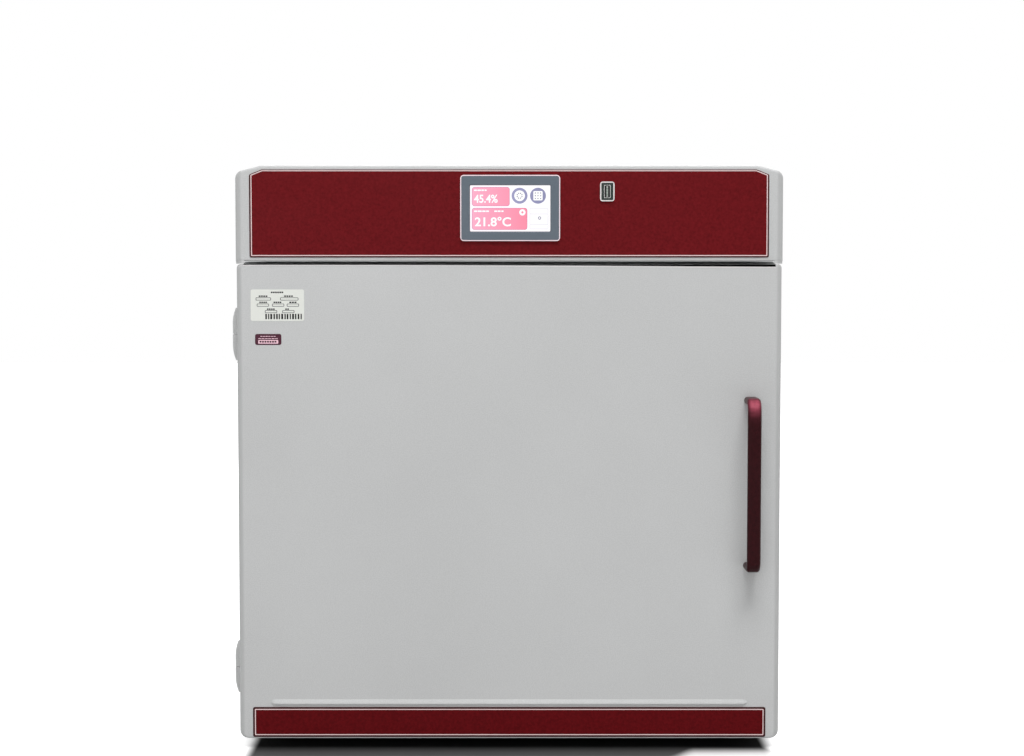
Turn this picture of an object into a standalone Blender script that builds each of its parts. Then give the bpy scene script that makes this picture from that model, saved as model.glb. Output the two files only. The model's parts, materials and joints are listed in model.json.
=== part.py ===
"""Refrigerated bench incubator with a side-hinged front door, built as an assembly.

Metres, +Z up, front towards -Y. In this file x = 0 is the middle of the cabinet
and y = 0 the plane of its front flange. The assembly empty then centres the whole
object over the origin, with its feet on z = 0.
"""
import math

import bmesh
import bpy
from mathutils import Matrix, Vector

# Fits and sheet thicknesses
CLEAR = 0.0003
SHEET = 0.0015
LINER_SHEET = 0.0012
FILM = 0.0004
FOLD_RADIUS = 0.0016
FRONT_ROUND = 0.0024
SIDE_SOFTENING = 1.0
CORNER_BREAK = 0.001

# Cabinet
CABINET_WIDTH = 0.650
CABINET_HEIGHT = 0.575
MACHINE_BAY = 0.1352
CABINET_CORNER = 0.004
FLANGE_WIDTH = 0.030
FOOT_HEIGHT = 0.012
FOOT_RADIUS = 0.016
FOOT_INSET = 0.055

# Chamber
WALL = 0.050
CHAMBER_DEPTH = 0.3475
CHAMBER_CORNER = 0.012
COLLAR_DEPTH = 0.012
COLLAR_CHAMFER = 0.004
LIP_WIDTH = 0.009
PLENUM_DEPTH = 0.054

# Door
DOOR_THICKNESS = 0.052
DOOR_GAP = 0.006
HEAD_GAP = 0.0035
DOOR_FOOT_CORNER = 0.010
DOOR_TOP_CORNER = 0.004
RETURN_WIDTH = 0.014
LINER_EDGE = 0.004
PLUG_CLEARANCE = 0.004
PLUG_REACH = 0.014
GASKET_INSET = 0.010
GASKET_WIDTH = 0.016
BEAD_INSET = 0.038
BEAD_HEIGHT = 0.0065
BEAD_RISE = 0.0020
BEAD_ABOVE_EDGE = 0.0446
PLUG_TAPER = 0.006

# Door handle, a flat oval bar bent at both ends
HANDLE_FROM_EDGE = 0.0358
HANDLE_ABOVE_FOOT = 0.3100
HANDLE_LENGTH = 0.2074
HANDLE_REACH = 0.042
HANDLE_WIDTH = 0.0162
HANDLE_THICKNESS = 0.0085
HANDLE_BEND = 0.011

# Hinges, lift-off pairs with streamlined ends
HINGE_OFFSET = 0.0065
HINGE_RADIUS = 0.0062
HINGE_STRAIGHT = 0.0150
HINGE_TAPER = 0.0170
HINGE_TIP_RADIUS = 0.0024
HINGE_BELOW_TOP = 0.0881
HINGE_ABOVE_FOOT = 0.0772
LEAF_LENGTH = 0.034
LEAF_THICKNESS = 0.0022
LEAF_HEIGHT = 0.024
LEAF_SINK = 0.0028
LEAF_CORNER = 0.002
PIN_RADIUS = 0.0025
PIN_LENGTH = 0.012

# Control hood on top
HOOD_OVERHANG = 0.001
HOOD_HEIGHT = 0.1137
HOOD_FOOT_ROUND = 0.0006
SHOULDER_RUN = 0.030
SHOULDER_DROP = 0.0074
SHOULDER_RADIUS = 0.010
TAB_WIDTH = 0.010
TAB_GAP = 0.0008
POST_HEIGHT = 0.008
POST_RADIUS = 0.004
BOARD_WIDTH = 0.200
BOARD_DEPTH = 0.140
BOARD_FROM_SIDE = 0.176
BOARDS_FROM_REAR = 0.298
RELAY_PITCH = 0.024
RELAY_WIDTH = 0.018
RELAY_DEPTH = 0.014
RELAY_HEIGHT = 0.0165
CAN_RADIUS = 0.006
CAN_HEIGHT = 0.0225
CORE_WIDTH = 0.042
CORE_DEPTH = 0.036
CORE_HEIGHT = 0.0305
SUPPLY_WIDTH = 0.130
SUPPLY_DEPTH = 0.180
SUPPLY_FROM_SIDE = 0.166
SUPPLY_HEIGHT = 0.045
SUPPLY_LEDGE = 0.014

# Rear sheet and finger guard
LOUVRES = 7
LOUVRE_FROM_SIDE = 0.100
LOUVRE_DROP = 0.060
LOUVRE_PITCH = 0.016
LOUVRE_LENGTH = 0.150
LOUVRE_HEIGHT = 0.006
GUARD_RIM = 0.006
GUARD_EYE = 0.014
GUARD_RINGS = 4
GUARD_BAR = 0.003
GUARD_SHEET = 0.002
REAR_EYE_LIP = 0.001

# Printed films on the hood and on the door's foot
HEAD_FILM_INSET = 0.0168
HEAD_FILM_RISE = 0.0047
HEAD_FILM_RUN = 0.015
HEAD_FILM_DROP = 0.006
FILM_CORNER = 0.002
FOOT_FILM_INSET = 0.0158
FOOT_FILM_HEIGHT = 0.0365
FOOT_FILM_RISE = 0.0020

# Touch panel and data socket
PANEL_X = 0.0012
PANEL_RISE = 0.0634
PANEL_WIDTH = 0.118
PANEL_HEIGHT = 0.0777
PANEL_RISE_FRONT = 0.0026
PANEL_CORNER = 0.0035
SCREEN_WIDTH = 0.0954
SCREEN_HEIGHT = 0.0546
SCREEN_RECESS = 0.0010
SCREEN_SHIFT = -0.0005
DISPLAY_DEPTH = 0.022
DISPLAY_MARGIN = 0.005
SOCKET_FROM_PANEL = 0.1154
SOCKET_RISE = 0.0830
SOCKET_WIDTH = 0.017
SOCKET_HEIGHT = 0.0233
SOCKET_FRONT = 0.0016
SOCKET_MOUTH_WIDTH = 0.0068
SOCKET_MOUTH_HEIGHT = 0.0146
SOCKET_DEPTH = 0.016
SOCKET_WALL = 0.0008
TONGUE_WIDTH = 0.0019
TONGUE_HEIGHT = 0.0116

# Air baffle
BAFFLE_EYE = 0.010
BAFFLE_RINGS = 3
BAFFLE_SPREAD = 7.0
BAFFLE_SLOT_SHARE = 0.55
BAFFLE_POST_INSET = 0.030
OUTLETS = 7
OUTLET_PITCH = 0.050
OUTLET_LENGTH = 0.060
OUTLET_HEIGHT = 0.006
OUTLET_FROM_SIDE = 0.085
SENSOR_FROM_SIDE = 0.155
SENSOR_RISE = 0.030
PROBE_RADIUS = 0.0025
PROBE_REACH = 0.045
SENSOR_RADIUS = 0.006
SENSOR_REACH = 0.050
SENSOR_NUT = 0.006

# Shelves and what carries them
SHELF_LEVELS = 5
SHELF_PITCH = 0.075
SHELF_FIRST = 0.070
SHELF_PLACES = (1, 3)
SHELF_NAMES = ("wire_shelf_lower", "wire_shelf_upper")
SHELF_FRONT = 0.042
SHELF_BACK_GAP = 0.008
SHELF_SIDE_GAP = 0.001
FRAME_WIRE = 0.0030
GRID_WIRE = 0.0016
GRID_WIRES = 12
GRID_RISE = 0.0022
SHELF_CORNER = 0.012
LADDER_SHEET = 0.0015
LEDGE_WIDTH = 0.010
LADDER_RAIL = 0.016
LADDER_FRONT = 0.034
WINDOW_CORNER = 0.006

# Air circulation
FAN_RADIUS = 0.074
FAN_EYE = 0.048
FAN_DEPTH = 0.034
FAN_BLADES = 12
FAN_PLATE = 0.002
FAN_WALL_GAP = 0.010
FAN_HUB = 0.013
FAN_NOSE = 0.024
FAN_COLLAR = 0.003
BLADE_ROOT = 0.050
BLADE_TIP = 0.0725
BLADE_LEAN = 30.0
BLADE_SHEET = 0.0014
SHAFT_RADIUS = 0.004
SHAFT_BORE = 0.008
MOTOR_RADIUS = 0.034
MOTOR_LENGTH = 0.050
MOTOR_SOCKET = 0.012
MOTOR_RIM = 0.006
MOTOR_RIM_SHEET = 0.003
HEATER_RADIUS = 0.0045
HEATER_FROM_SIDE = 0.105
HEATER_PITCH = 0.040
HEATER_RISE = 0.0325

# Cooling circuit in the machine bay
COIL_FIN = 0.0012
COIL_SPINE = 0.002
COIL_BENDS = 3
COIL_TUBE = 0.0045
EVAPORATOR_FROM_SIDE = 0.055
EVAPORATOR_HEIGHT = 0.086
EVAPORATOR_DEPTH = 0.038
EVAPORATOR_FINS = 20
TRAY_HEIGHT = 0.014
TRAY_ABOVE_FAN = 0.020
TRAY_MARGIN = 0.012
TRAY_CORNER = 0.004
TRAY_SLOPE = 0.001
CONDENSER_FROM_SIDE = 0.175
CONDENSER_WIDTH = 0.200
CONDENSER_HEIGHT = 0.228
CONDENSER_DEPTH = 0.060
CONDENSER_FINS = 17
CONDENSER_FROM_BULKHEAD = 0.018
COMPRESSOR_FROM_SIDE = 0.195
COMPRESSOR_RADIUS = 0.058
COMPRESSOR_HEIGHT = 0.162
COMPRESSOR_SEAT = 0.018
LINE_RADIUS = 0.003
CAPILLARY_RADIUS = 0.0016
LINE_BEND = 0.012
LINES_BELOW_TOP = 0.207
DISCHARGE_DROP = 0.035
SUCTION_OUT = 0.030
DRIER_DROP = 0.012
CAPILLARY_OUT = 0.026
CAPILLARY_PAST_MOTOR = 0.0303
DRIER_RADIUS = 0.009
CARRIER_SHEET = 0.002
CARRIER_MARGIN = 0.022
CARRIER_FLANGE = 0.018
CARRIER_SLOPE = 0.006

# Condenser fan
BOX_FAN_SIZE = 0.120
BOX_FAN_BORE = 0.058
BOX_FAN_DEPTH = 0.025
BOX_FAN_GAP = 0.002
BOX_FAN_HUB = 0.019
BOX_FAN_BLADES = 7
BOX_FAN_PIN = 0.003
BOX_FAN_BLADE_DEPTH = 0.015
BOX_FAN_CORNER = 0.006
BLADE_CAMBER = 0.08
ROOT_PITCH = 46.0
TIP_PITCH = 26.0
SPIDER_ARM = 14.0
SPIDER_SHEET = 0.003

# Mains inlet with its rocker switch, and the door switch
INLET_FROM_SIDE = 0.063
INLET_HEIGHT_ABOVE_BASE = 0.128
INLET_FLANGE_WIDTH = 0.031
INLET_FLANGE_HEIGHT = 0.062
INLET_FLANGE = 0.004
INLET_BODY_WIDTH = 0.027
INLET_BODY_HEIGHT = 0.056
INLET_BODY_DEPTH = 0.024
ROCKER_WIDTH = 0.0125
ROCKER_LENGTH = 0.019
ROCKER_TILT = 7.0
ROCKER_SINK = 0.0055
ROCKER_RISE = 0.0155
CAVITY_DROP = 0.0125
CAVITY_DEPTH = 0.017
CAVITY_HALF_WIDTH = 0.0118
CAVITY_HALF_HEIGHT = 0.0082
CAVITY_CORNER = 0.004
BLADE_ACROSS = 0.002
BLADE_UP = 0.004
BLADE_SPREAD = 0.007
BLADE_SINK = 0.004
WINDOW_DEPTH = 0.014
WINDOW_PLAY = 0.0008
PLUNGER_FROM_SIDE = 0.075
PLUNGER_INSET = 0.0355
PLUNGER_RADIUS = 0.003
SWITCH_WIDTH = 0.016
SWITCH_HEIGHT = 0.009
SWITCH_DEPTH = 0.022

# Widths that follow from the sizes above
CHAMBER_HALF = CABINET_WIDTH / 2 - WALL
DOOR_WIDTH = CABINET_WIDTH
HOOD_WIDTH = CABINET_WIDTH + 2 * HOOD_OVERHANG
HEAD_FILM_WIDTH = HOOD_WIDTH - 2 * HEAD_FILM_INSET
FOOT_FILM_WIDTH = DOOR_WIDTH - 2 * FOOT_FILM_INSET
BEAD_LENGTH = DOOR_WIDTH - 2 * BEAD_INSET
HANDLE_X = DOOR_WIDTH / 2 - HANDLE_FROM_EDGE
SOCKET_X = PANEL_X + SOCKET_FROM_PANEL
LOUVRE_COLUMN = CABINET_WIDTH / 2 - LOUVRE_FROM_SIDE - LOUVRE_LENGTH / 2
OUTLET_COLUMN = CHAMBER_HALF - OUTLET_FROM_SIDE
SENSOR_X = CHAMBER_HALF - SENSOR_FROM_SIDE
HEATER_HALF = CHAMBER_HALF - HEATER_FROM_SIDE
EVAPORATOR_WIDTH = 2 * (CHAMBER_HALF - EVAPORATOR_FROM_SIDE)
CONDENSER_X = CABINET_WIDTH / 2 - CONDENSER_FROM_SIDE
COMPRESSOR_X = COMPRESSOR_FROM_SIDE - CABINET_WIDTH / 2
INLET_X = INLET_FROM_SIDE - CABINET_WIDTH / 2
PLUNGER_X = CABINET_WIDTH / 2 - PLUNGER_FROM_SIDE

# Heights and depths that follow from the sizes above
BASE = FOOT_HEIGHT
CABINET_TOP = BASE + CABINET_HEIGHT
CABINET_MIDDLE = BASE + CABINET_HEIGHT / 2
CHAMBER_FLOOR = BASE + WALL
HOOD_BASE = CABINET_TOP + CLEAR
DOOR_TOP = HOOD_BASE - HEAD_GAP
DOOR_HEIGHT = DOOR_TOP - BASE
DOOR_MIDDLE = BASE + DOOR_HEIGHT / 2
DOOR_BACK = -DOOR_GAP
DOOR_FRONT = DOOR_BACK - DOOR_THICKNESS
SKIN_BACK = DOOR_BACK - LINER_SHEET - CLEAR
LINER_FRONT = COLLAR_DEPTH + CLEAR
LINER_BACK = LINER_FRONT + CHAMBER_DEPTH
FOAM_FRONT = LINER_FRONT + LINER_SHEET + CLEAR
FOAM_BACK = LINER_BACK + LINER_SHEET + WALL
BULKHEAD_FRONT = FOAM_BACK + CLEAR
BULKHEAD_BACK = BULKHEAD_FRONT + SHEET
CABINET_DEPTH = BULKHEAD_BACK + MACHINE_BAY
REAR_FRONT = CABINET_DEPTH + CLEAR
REAR_BACK = REAR_FRONT + SHEET
BAFFLE_BACK = LINER_BACK - PLENUM_DEPTH
BAFFLE_FRONT = BAFFLE_BACK - LINER_SHEET
HINGE_X = -(DOOR_WIDTH / 2 + HINGE_OFFSET)
HINGE_Y = -DOOR_GAP / 2
HINGE_UPPER = CABINET_TOP - HINGE_BELOW_TOP
HINGE_LOWER = BASE + HINGE_ABOVE_FOOT
HANDLE_MIDDLE = BASE + HANDLE_ABOVE_FOOT
LINES_TOP = CABINET_TOP - LINES_BELOW_TOP
HEAD_FILM_HEIGHT = HOOD_HEIGHT - 2 * HEAD_FILM_RISE
FILM_FRONT = DOOR_FRONT - CLEAR - FILM
FAN_HEIGHT = CABINET_MIDDLE
BOX_FAN_HEIGHT = BASE + SHEET + CLEAR + CONDENSER_HEIGHT / 2
CONDENSER_Y = BULKHEAD_BACK + CONDENSER_FROM_BULKHEAD + CONDENSER_DEPTH / 2
COMPRESSOR_Y = (BULKHEAD_BACK + CABINET_DEPTH) / 2
BAY_FLOOR = BASE + SHEET + CLEAR
INLET_Z = BASE + INLET_HEIGHT_ABOVE_BASE
PLUNGER_Z = CABINET_TOP - PLUNGER_INSET
SHELF_HALF = CHAMBER_HALF - CLEAR - LADDER_SHEET - SHELF_SIDE_GAP
SHELF_BACK = BAFFLE_FRONT - SHELF_BACK_GAP
SCREEN_CENTRE = (PANEL_X, HOOD_BASE + PANEL_RISE + SCREEN_SHIFT)
SOCKET_CENTRE = (SOCKET_X, HOOD_BASE + SOCKET_RISE)
FAN_BACK = LINER_BACK - FAN_WALL_GAP
FAN_FRONT = FAN_BACK - FAN_DEPTH
TRAY_BASE = FAN_HEIGHT + FAN_RADIUS + TRAY_ABOVE_FAN
MOTOR_FRONT = BULKHEAD_BACK + CLEAR
BOX_FAN_FRONT = REAR_FRONT - CLEAR - BOX_FAN_DEPTH
COMPRESSOR_BASE = BAY_FLOOR + COMPRESSOR_SEAT + CLEAR
PIVOT_Y = REAR_BACK + CLEAR + INLET_FLANGE - ROCKER_SINK
PIVOT_Z = INLET_Z + ROCKER_RISE
BOARDS_Y = CABINET_DEPTH - BOARDS_FROM_REAR
CONTROL_BOARD = (BOARD_FROM_SIDE - HOOD_WIDTH / 2, BOARDS_Y, BOARD_WIDTH, BOARD_DEPTH)
SUPPLY_BOX = (HOOD_WIDTH / 2 - SUPPLY_FROM_SIDE, BOARDS_Y, SUPPLY_WIDTH, SUPPLY_DEPTH)

# Reach of the whole object, which the assembly empty centres
LEFT_REACH = HINGE_X - HINGE_RADIUS
RIGHT_REACH = HOOD_WIDTH / 2
FRONT_REACH = DOOR_FRONT - HANDLE_REACH
BACK_REACH = REAR_BACK + CLEAR + INLET_FLANGE


def finish(name, colour, roughness, metallic=0.0):
    """One Principled material for each kind of surface."""
    material = bpy.data.materials.get(name)
    if material is None:
        material = bpy.data.materials.new(name)
        material.use_nodes = True
        shader = material.node_tree.nodes["Principled BSDF"]
        shader.inputs["Base Color"].default_value = (*colour, 1.0)
        shader.inputs["Roughness"].default_value = roughness
        shader.inputs["Metallic"].default_value = metallic
        material.diffuse_color = (*colour, 1.0)
    return material


def grey_paint():
    return finish("grey_paint", (0.50, 0.51, 0.50), 0.45)


def red_film():
    return finish("red_film", (0.13, 0.010, 0.014), 0.35)


def stainless():
    return finish("stainless", (0.60, 0.60, 0.58), 0.30, 1.0)


def galvanised():
    return finish("galvanised", (0.48, 0.50, 0.51), 0.50, 1.0)


def copper():
    return finish("copper", (0.72, 0.36, 0.20), 0.35, 1.0)


def black_plastic():
    return finish("black_plastic", (0.02, 0.02, 0.022), 0.50)


def white_plastic():
    return finish("white_plastic", (0.72, 0.73, 0.72), 0.45)


def rubber():
    return finish("rubber", (0.025, 0.025, 0.027), 0.80)


def foam():
    return finish("foam", (0.75, 0.66, 0.42), 0.90)


def placed(axis, across, up, along):
    """A point of a flat sketch, raised by along on the axis square to it."""
    if axis == "X":
        return Vector((along, across, up))
    if axis == "Y":
        return Vector((across, along, up))
    return Vector((across, up, along))


def rounded(corners, radii, steps=4):
    """A closed outline through corners, each one replaced by an arc of its radius."""
    points = []
    count = len(corners)
    for number, corner in enumerate(corners):
        here = Vector(corner)
        back = (Vector(corners[number - 1]) - here).normalized()
        on = (Vector(corners[(number + 1) % count]) - here).normalized()
        half = back.angle(on) / 2
        radius = radii[number]
        middle = here + (back + on).normalized() * (radius / math.sin(half))
        first = here + back * (radius / math.tan(half)) - middle
        last = here + on * (radius / math.tan(half)) - middle
        for step in range(steps + 1):
            points.append(tuple(middle + first.slerp(last, step / steps) * radius))
    return points


def rectangle(width, height, radius, centre=(0.0, 0.0), foot_radius=None, steps=4):
    """A rounded rectangle, whose lower two corners may have a radius of their own."""
    x, y = centre
    across, up = width / 2, height / 2
    corners = ((x + across, y - up), (x + across, y + up), (x - across, y + up), (x - across, y - up))
    foot = radius if foot_radius is None else foot_radius
    return rounded(corners, (foot, radius, radius, foot), steps)


def circle(radius, centre=(0.0, 0.0), sides=24):
    """A regular outline round centre."""
    turns = [2 * math.pi * side / sides for side in range(sides)]
    return [(centre[0] + radius * math.cos(a), centre[1] + radius * math.sin(a)) for a in turns]


def at_depth(outline, y):
    """An outline drawn in x and z, as a ring of points at depth y."""
    return [Vector((x, y, z)) for x, z in outline]


def finished(name, bm, material, smooth=35.0):
    """The bmesh as a named object with its faces pointing out."""
    bmesh.ops.recalc_face_normals(bm, faces=bm.faces[:])
    mesh = bpy.data.meshes.new(name)
    bm.to_mesh(mesh)
    bm.free()
    mesh.materials.append(material)
    mesh.shade_smooth()
    mesh.set_sharp_from_angle(angle=math.radians(smooth))
    item = bpy.data.objects.new(name, mesh)
    bpy.context.scene.collection.objects.link(item)
    return item


def extruded(name, loops, axis, start, end, material):
    """A sketch raised along an axis; loops inside a loop are its holes."""
    bm = bmesh.new()
    edges = []
    for loop in loops:
        ring = [bm.verts.new(placed(axis, across, up, start)) for across, up in loop]
        edges += [bm.edges.new((ring[i - 1], ring[i])) for i in range(len(ring))]
    filled = bmesh.ops.triangle_fill(bm, edges=edges, use_beauty=True)
    faces = [item for item in filled["geom"] if isinstance(item, bmesh.types.BMFace)]
    raised = bmesh.ops.extrude_face_region(bm, geom=faces)
    moved = [item for item in raised["geom"] if isinstance(item, bmesh.types.BMVert)]
    bmesh.ops.translate(bm, verts=moved, vec=placed(axis, 0.0, 0.0, end - start))
    return finished(name, bm, material)


def skin_between(bm, rows, closed):
    """Quads between neighbouring rows of vertices, and caps where the rows end."""
    pairs = list(zip(rows, rows[1:]))
    if closed:
        pairs.append((rows[-1], rows[0]))
    count = max(len(row) for row in rows)
    for low, high in pairs:
        for i in range(count):
            j = (i + 1) % count
            corners = (low[i % len(low)], low[j % len(low)], high[j % len(high)], high[i % len(high)])
            bm.faces.new(tuple(dict.fromkeys(corners)))
    if not closed:
        for row in (rows[0], rows[-1]):
            if len(row) > 2:
                bm.faces.new(row)


def lofted(name, rings, material, closed=False):
    """A skin over rings with as many points each; closed joins the last to the first."""
    bm = bmesh.new()
    rows = [[bm.verts.new(point) for point in ring] for ring in rings]
    skin_between(bm, rows, closed)
    return finished(name, bm, material)


def turned(name, profile, axis, centre, material, sides=24, closed=False):
    """A profile of (radius, along) turned about an axis through centre (across, up)."""
    bm = bmesh.new()
    rows = []
    for radius, along in profile:
        if radius > 0:
            outline = circle(radius, centre, sides)
            rows.append([bm.verts.new(placed(axis, x, y, along)) for x, y in outline])
        else:
            rows.append([bm.verts.new(placed(axis, *centre, along))])
    skin_between(bm, rows, closed)
    return finished(name, bm, material)


def bent(corners, radius, steps=4):
    """A path through the corners, with each inner one rounded."""
    points = [Vector(corners[0])]
    for before, corner, after in zip(corners, corners[1:], corners[2:]):
        here = Vector(corner)
        back = (Vector(before) - here).normalized()
        on = (Vector(after) - here).normalized()
        half = back.angle(on) / 2
        middle = here + (back + on).normalized() * (radius / math.sin(half))
        first = here + back * (radius / math.tan(half)) - middle
        last = here + on * (radius / math.tan(half)) - middle
        points += [middle + first.slerp(last, step / steps) * radius for step in range(steps + 1)]
    points.append(Vector(corners[-1]))
    return points


def swept(name, path, section, side, material):
    """A section carried along a path, square to it; side is its first direction."""
    rings = []
    across = Vector(side)
    for number, point in enumerate(path):
        after = path[min(number + 1, len(path) - 1)]
        before = path[max(number - 1, 0)]
        ahead = (after - before).normalized()
        across = (across - ahead * across.dot(ahead)).normalized()
        over = ahead.cross(across)
        rings.append([point + across * a + over * b for a, b in section])
    return lofted(name, rings, material)


def hidden(item):
    """Marks a solid that only cuts or joins another."""
    item.hide_render = True
    item.display_type = "WIRE"
    return item


def combine(target, operation, *others):
    """Joins the others to the target or cuts them from it."""
    for other in others:
        modifier = target.modifiers.new(other.name, "BOOLEAN")
        modifier.operation = operation
        modifier.solver = "EXACT"
        modifier.object = hidden(other)
    return target


def rounded_front(radius):
    """Pairs of inset and depth that round a front edge, from the face backwards."""
    turns = [math.radians(30 * step) for step in range(4)]
    return [(radius * (1 - math.sin(turn)), radius * (1 - math.cos(turn))) for turn in turns]


def narrowed(outline, amount):
    """An outline whose two halves are moved towards its middle."""
    return [(x - math.copysign(amount, x), z) for x, z in outline]


def cabinet_ring(inset, y):
    """The cabinet's outline, moved in by inset, at depth y."""
    radius = max(CABINET_CORNER - inset, 0.0005)
    outline = rectangle(CABINET_WIDTH - 2 * inset, CABINET_HEIGHT - 2 * inset, radius, (0.0, CABINET_MIDDLE))
    return at_depth(outline, y)


def chamber_ring(grow, y):
    """The chamber's outline, moved out by grow, at depth y."""
    width = CABINET_WIDTH - 2 * WALL + 2 * grow
    height = CABINET_HEIGHT - 2 * WALL + 2 * grow
    outline = rectangle(width, height, CHAMBER_CORNER + grow, (0.0, CABINET_MIDDLE))
    return at_depth(outline, y)


def door_ring(inset, y, softening=0.0):
    """The door's outline at depth y, moved in by inset, and further by softening at its sides."""
    top = max(DOOR_TOP_CORNER - inset, 0.0005)
    foot = max(DOOR_FOOT_CORNER - inset, 0.0005)
    outline = rectangle(
        DOOR_WIDTH - 2 * inset, DOOR_HEIGHT - 2 * inset, top, (0.0, DOOR_MIDDLE), foot_radius=foot
    )
    return at_depth(narrowed(outline, softening), y)


def outer_cabinet():
    """Wrapped steel sheet with a flange round its open front."""
    rings = (
        cabinet_ring(FLANGE_WIDTH, 0.0),
        cabinet_ring(FOLD_RADIUS, 0.0),
        cabinet_ring(FOLD_RADIUS * 0.3, FOLD_RADIUS * 0.3),
        cabinet_ring(0.0, FOLD_RADIUS),
        cabinet_ring(0.0, CABINET_DEPTH),
        cabinet_ring(SHEET, CABINET_DEPTH),
        cabinet_ring(SHEET, SHEET),
        cabinet_ring(FLANGE_WIDTH, SHEET),
    )
    return [lofted("outer_cabinet", rings, grey_paint(), closed=True)]


def plunger_bore(name, clearance, front, back):
    """A round cutter on the door switch's axis."""
    outline = circle(PLUNGER_RADIUS + clearance, (PLUNGER_X, PLUNGER_Z), 16)
    return extruded(name, [outline], "Y", front, back, black_plastic())


def front_collar():
    """Plastic frame that parts the warm flange from the cold liner."""
    rings = (
        cabinet_ring(FLANGE_WIDTH + CLEAR, 0.0),
        chamber_ring(COLLAR_CHAMFER, 0.0),
        chamber_ring(0.0, COLLAR_CHAMFER),
        chamber_ring(0.0, COLLAR_DEPTH),
        cabinet_ring(FLANGE_WIDTH + CLEAR, COLLAR_DEPTH),
    )
    collar = lofted("front_collar", rings, white_plastic(), closed=True)
    bore = plunger_bore("collar_bore", CLEAR, -COLLAR_DEPTH, 2 * COLLAR_DEPTH)
    return [combine(collar, "DIFFERENCE", bore)]


def shaft_bore(name):
    """A round cutter on the circulation fan's axis, through the chamber's back."""
    outline = circle(SHAFT_BORE, (0.0, FAN_HEIGHT), 16)
    return extruded(name, [outline], "Y", LINER_BACK - WALL / 2, BULKHEAD_BACK, black_plastic())


def inner_chamber():
    """Stainless tub with a lip behind the collar and a hole for the fan shaft."""
    rings = (
        chamber_ring(LINER_SHEET, LINER_BACK + LINER_SHEET),
        chamber_ring(LINER_SHEET, LINER_FRONT + LINER_SHEET),
        chamber_ring(LIP_WIDTH, LINER_FRONT + LINER_SHEET),
        chamber_ring(LIP_WIDTH, LINER_FRONT),
        chamber_ring(0.0, LINER_FRONT),
        chamber_ring(0.0, LINER_BACK),
    )
    tub = lofted("inner_chamber", rings, stainless())
    return [combine(tub, "DIFFERENCE", shaft_bore("tub_bore"))]


def cabinet_insulation():
    """Foam that fills the walls between the wrap and the tub."""
    rings = (
        cabinet_ring(SHEET + CLEAR, FOAM_BACK),
        cabinet_ring(SHEET + CLEAR, SHEET + CLEAR),
        cabinet_ring(FLANGE_WIDTH, SHEET + CLEAR),
        cabinet_ring(FLANGE_WIDTH, FOAM_FRONT),
        chamber_ring(LINER_SHEET + CLEAR, FOAM_FRONT),
        chamber_ring(LINER_SHEET + CLEAR, LINER_BACK + LINER_SHEET + CLEAR),
    )
    block = lofted("cabinet_insulation", rings, foam())
    pocket_outline = rectangle(
        SWITCH_WIDTH + 2 * CLEAR, SWITCH_HEIGHT + 2 * CLEAR, CORNER_BREAK, (PLUNGER_X, PLUNGER_Z), steps=1
    )
    pocket_back = COLLAR_DEPTH + SWITCH_DEPTH + 2 * CLEAR
    pocket = extruded("switch_pocket", [pocket_outline], "Y", COLLAR_DEPTH / 2, pocket_back, foam())
    return [combine(block, "DIFFERENCE", shaft_bore("foam_bore"), pocket)]


def machine_bulkhead():
    """Sheet between the foam and the machine bay, with a hole for the motor's nose."""
    outline = [(point.x, point.z) for point in cabinet_ring(SHEET + CLEAR, 0.0)]
    hole = circle(SHAFT_BORE, (0.0, FAN_HEIGHT), 16)
    return [extruded("machine_bulkhead", [outline, hole], "Y", BULKHEAD_FRONT, BULKHEAD_BACK, galvanised())]


def slot(width, height, centre):
    """A slot with rounded ends."""
    return rectangle(width, height, min(width, height) * 0.49, centre, steps=1)


def rear_panel():
    """Rear sheet with louvre slots, the fan's opening and the inlet's cut-out."""
    outline = [(point.x, point.z) for point in cabinet_ring(0.0, 0.0)]
    holes = [circle(BOX_FAN_BORE - REAR_EYE_LIP, (CONDENSER_X, BOX_FAN_HEIGHT), 32)]
    width, height = INLET_BODY_WIDTH + 2 * CLEAR, INLET_BODY_HEIGHT + 2 * CLEAR
    holes.append(rectangle(width, height, CORNER_BREAK, (INLET_X, INLET_Z), steps=1))
    for column in (-1, 1):
        for row in range(LOUVRES):
            centre = (column * LOUVRE_COLUMN, CABINET_TOP - LOUVRE_DROP - row * LOUVRE_PITCH)
            holes.append(slot(LOUVRE_LENGTH, LOUVRE_HEIGHT, centre))
    return [extruded("rear_panel", [outline, *holes], "Y", REAR_FRONT, REAR_BACK, grey_paint())]


def arc_slot(inner, outer, start, end, centre, steps=3):
    """A slot between two radii and two angles in degrees."""
    turns = [math.radians(start + (end - start) * step / steps) for step in range(steps + 1)]
    points = [(inner * math.cos(a), inner * math.sin(a)) for a in turns]
    points += [(outer * math.cos(a), outer * math.sin(a)) for a in reversed(turns)]
    return [(centre[0] + x, centre[1] + y) for x, y in points]


def fan_guard():
    """Pressed finger guard over the condenser fan."""
    centre = (CONDENSER_X, BOX_FAN_HEIGHT)
    loops = [circle(BOX_FAN_BORE + GUARD_RIM, centre, 32)]
    ring = (BOX_FAN_BORE - GUARD_EYE) / GUARD_RINGS
    for number in range(GUARD_RINGS):
        inner = GUARD_EYE + number * ring
        spread = math.degrees(GUARD_BAR / (inner + ring / 2)) / 2
        for quarter in range(4):
            start = 45 + 90 * quarter + spread
            loops.append(arc_slot(inner, inner + ring - GUARD_BAR, start, start + 90 - 2 * spread, centre))
    front = REAR_BACK + CLEAR
    return [extruded("fan_guard", loops, "Y", front, front + GUARD_SHEET, black_plastic())]


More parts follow.
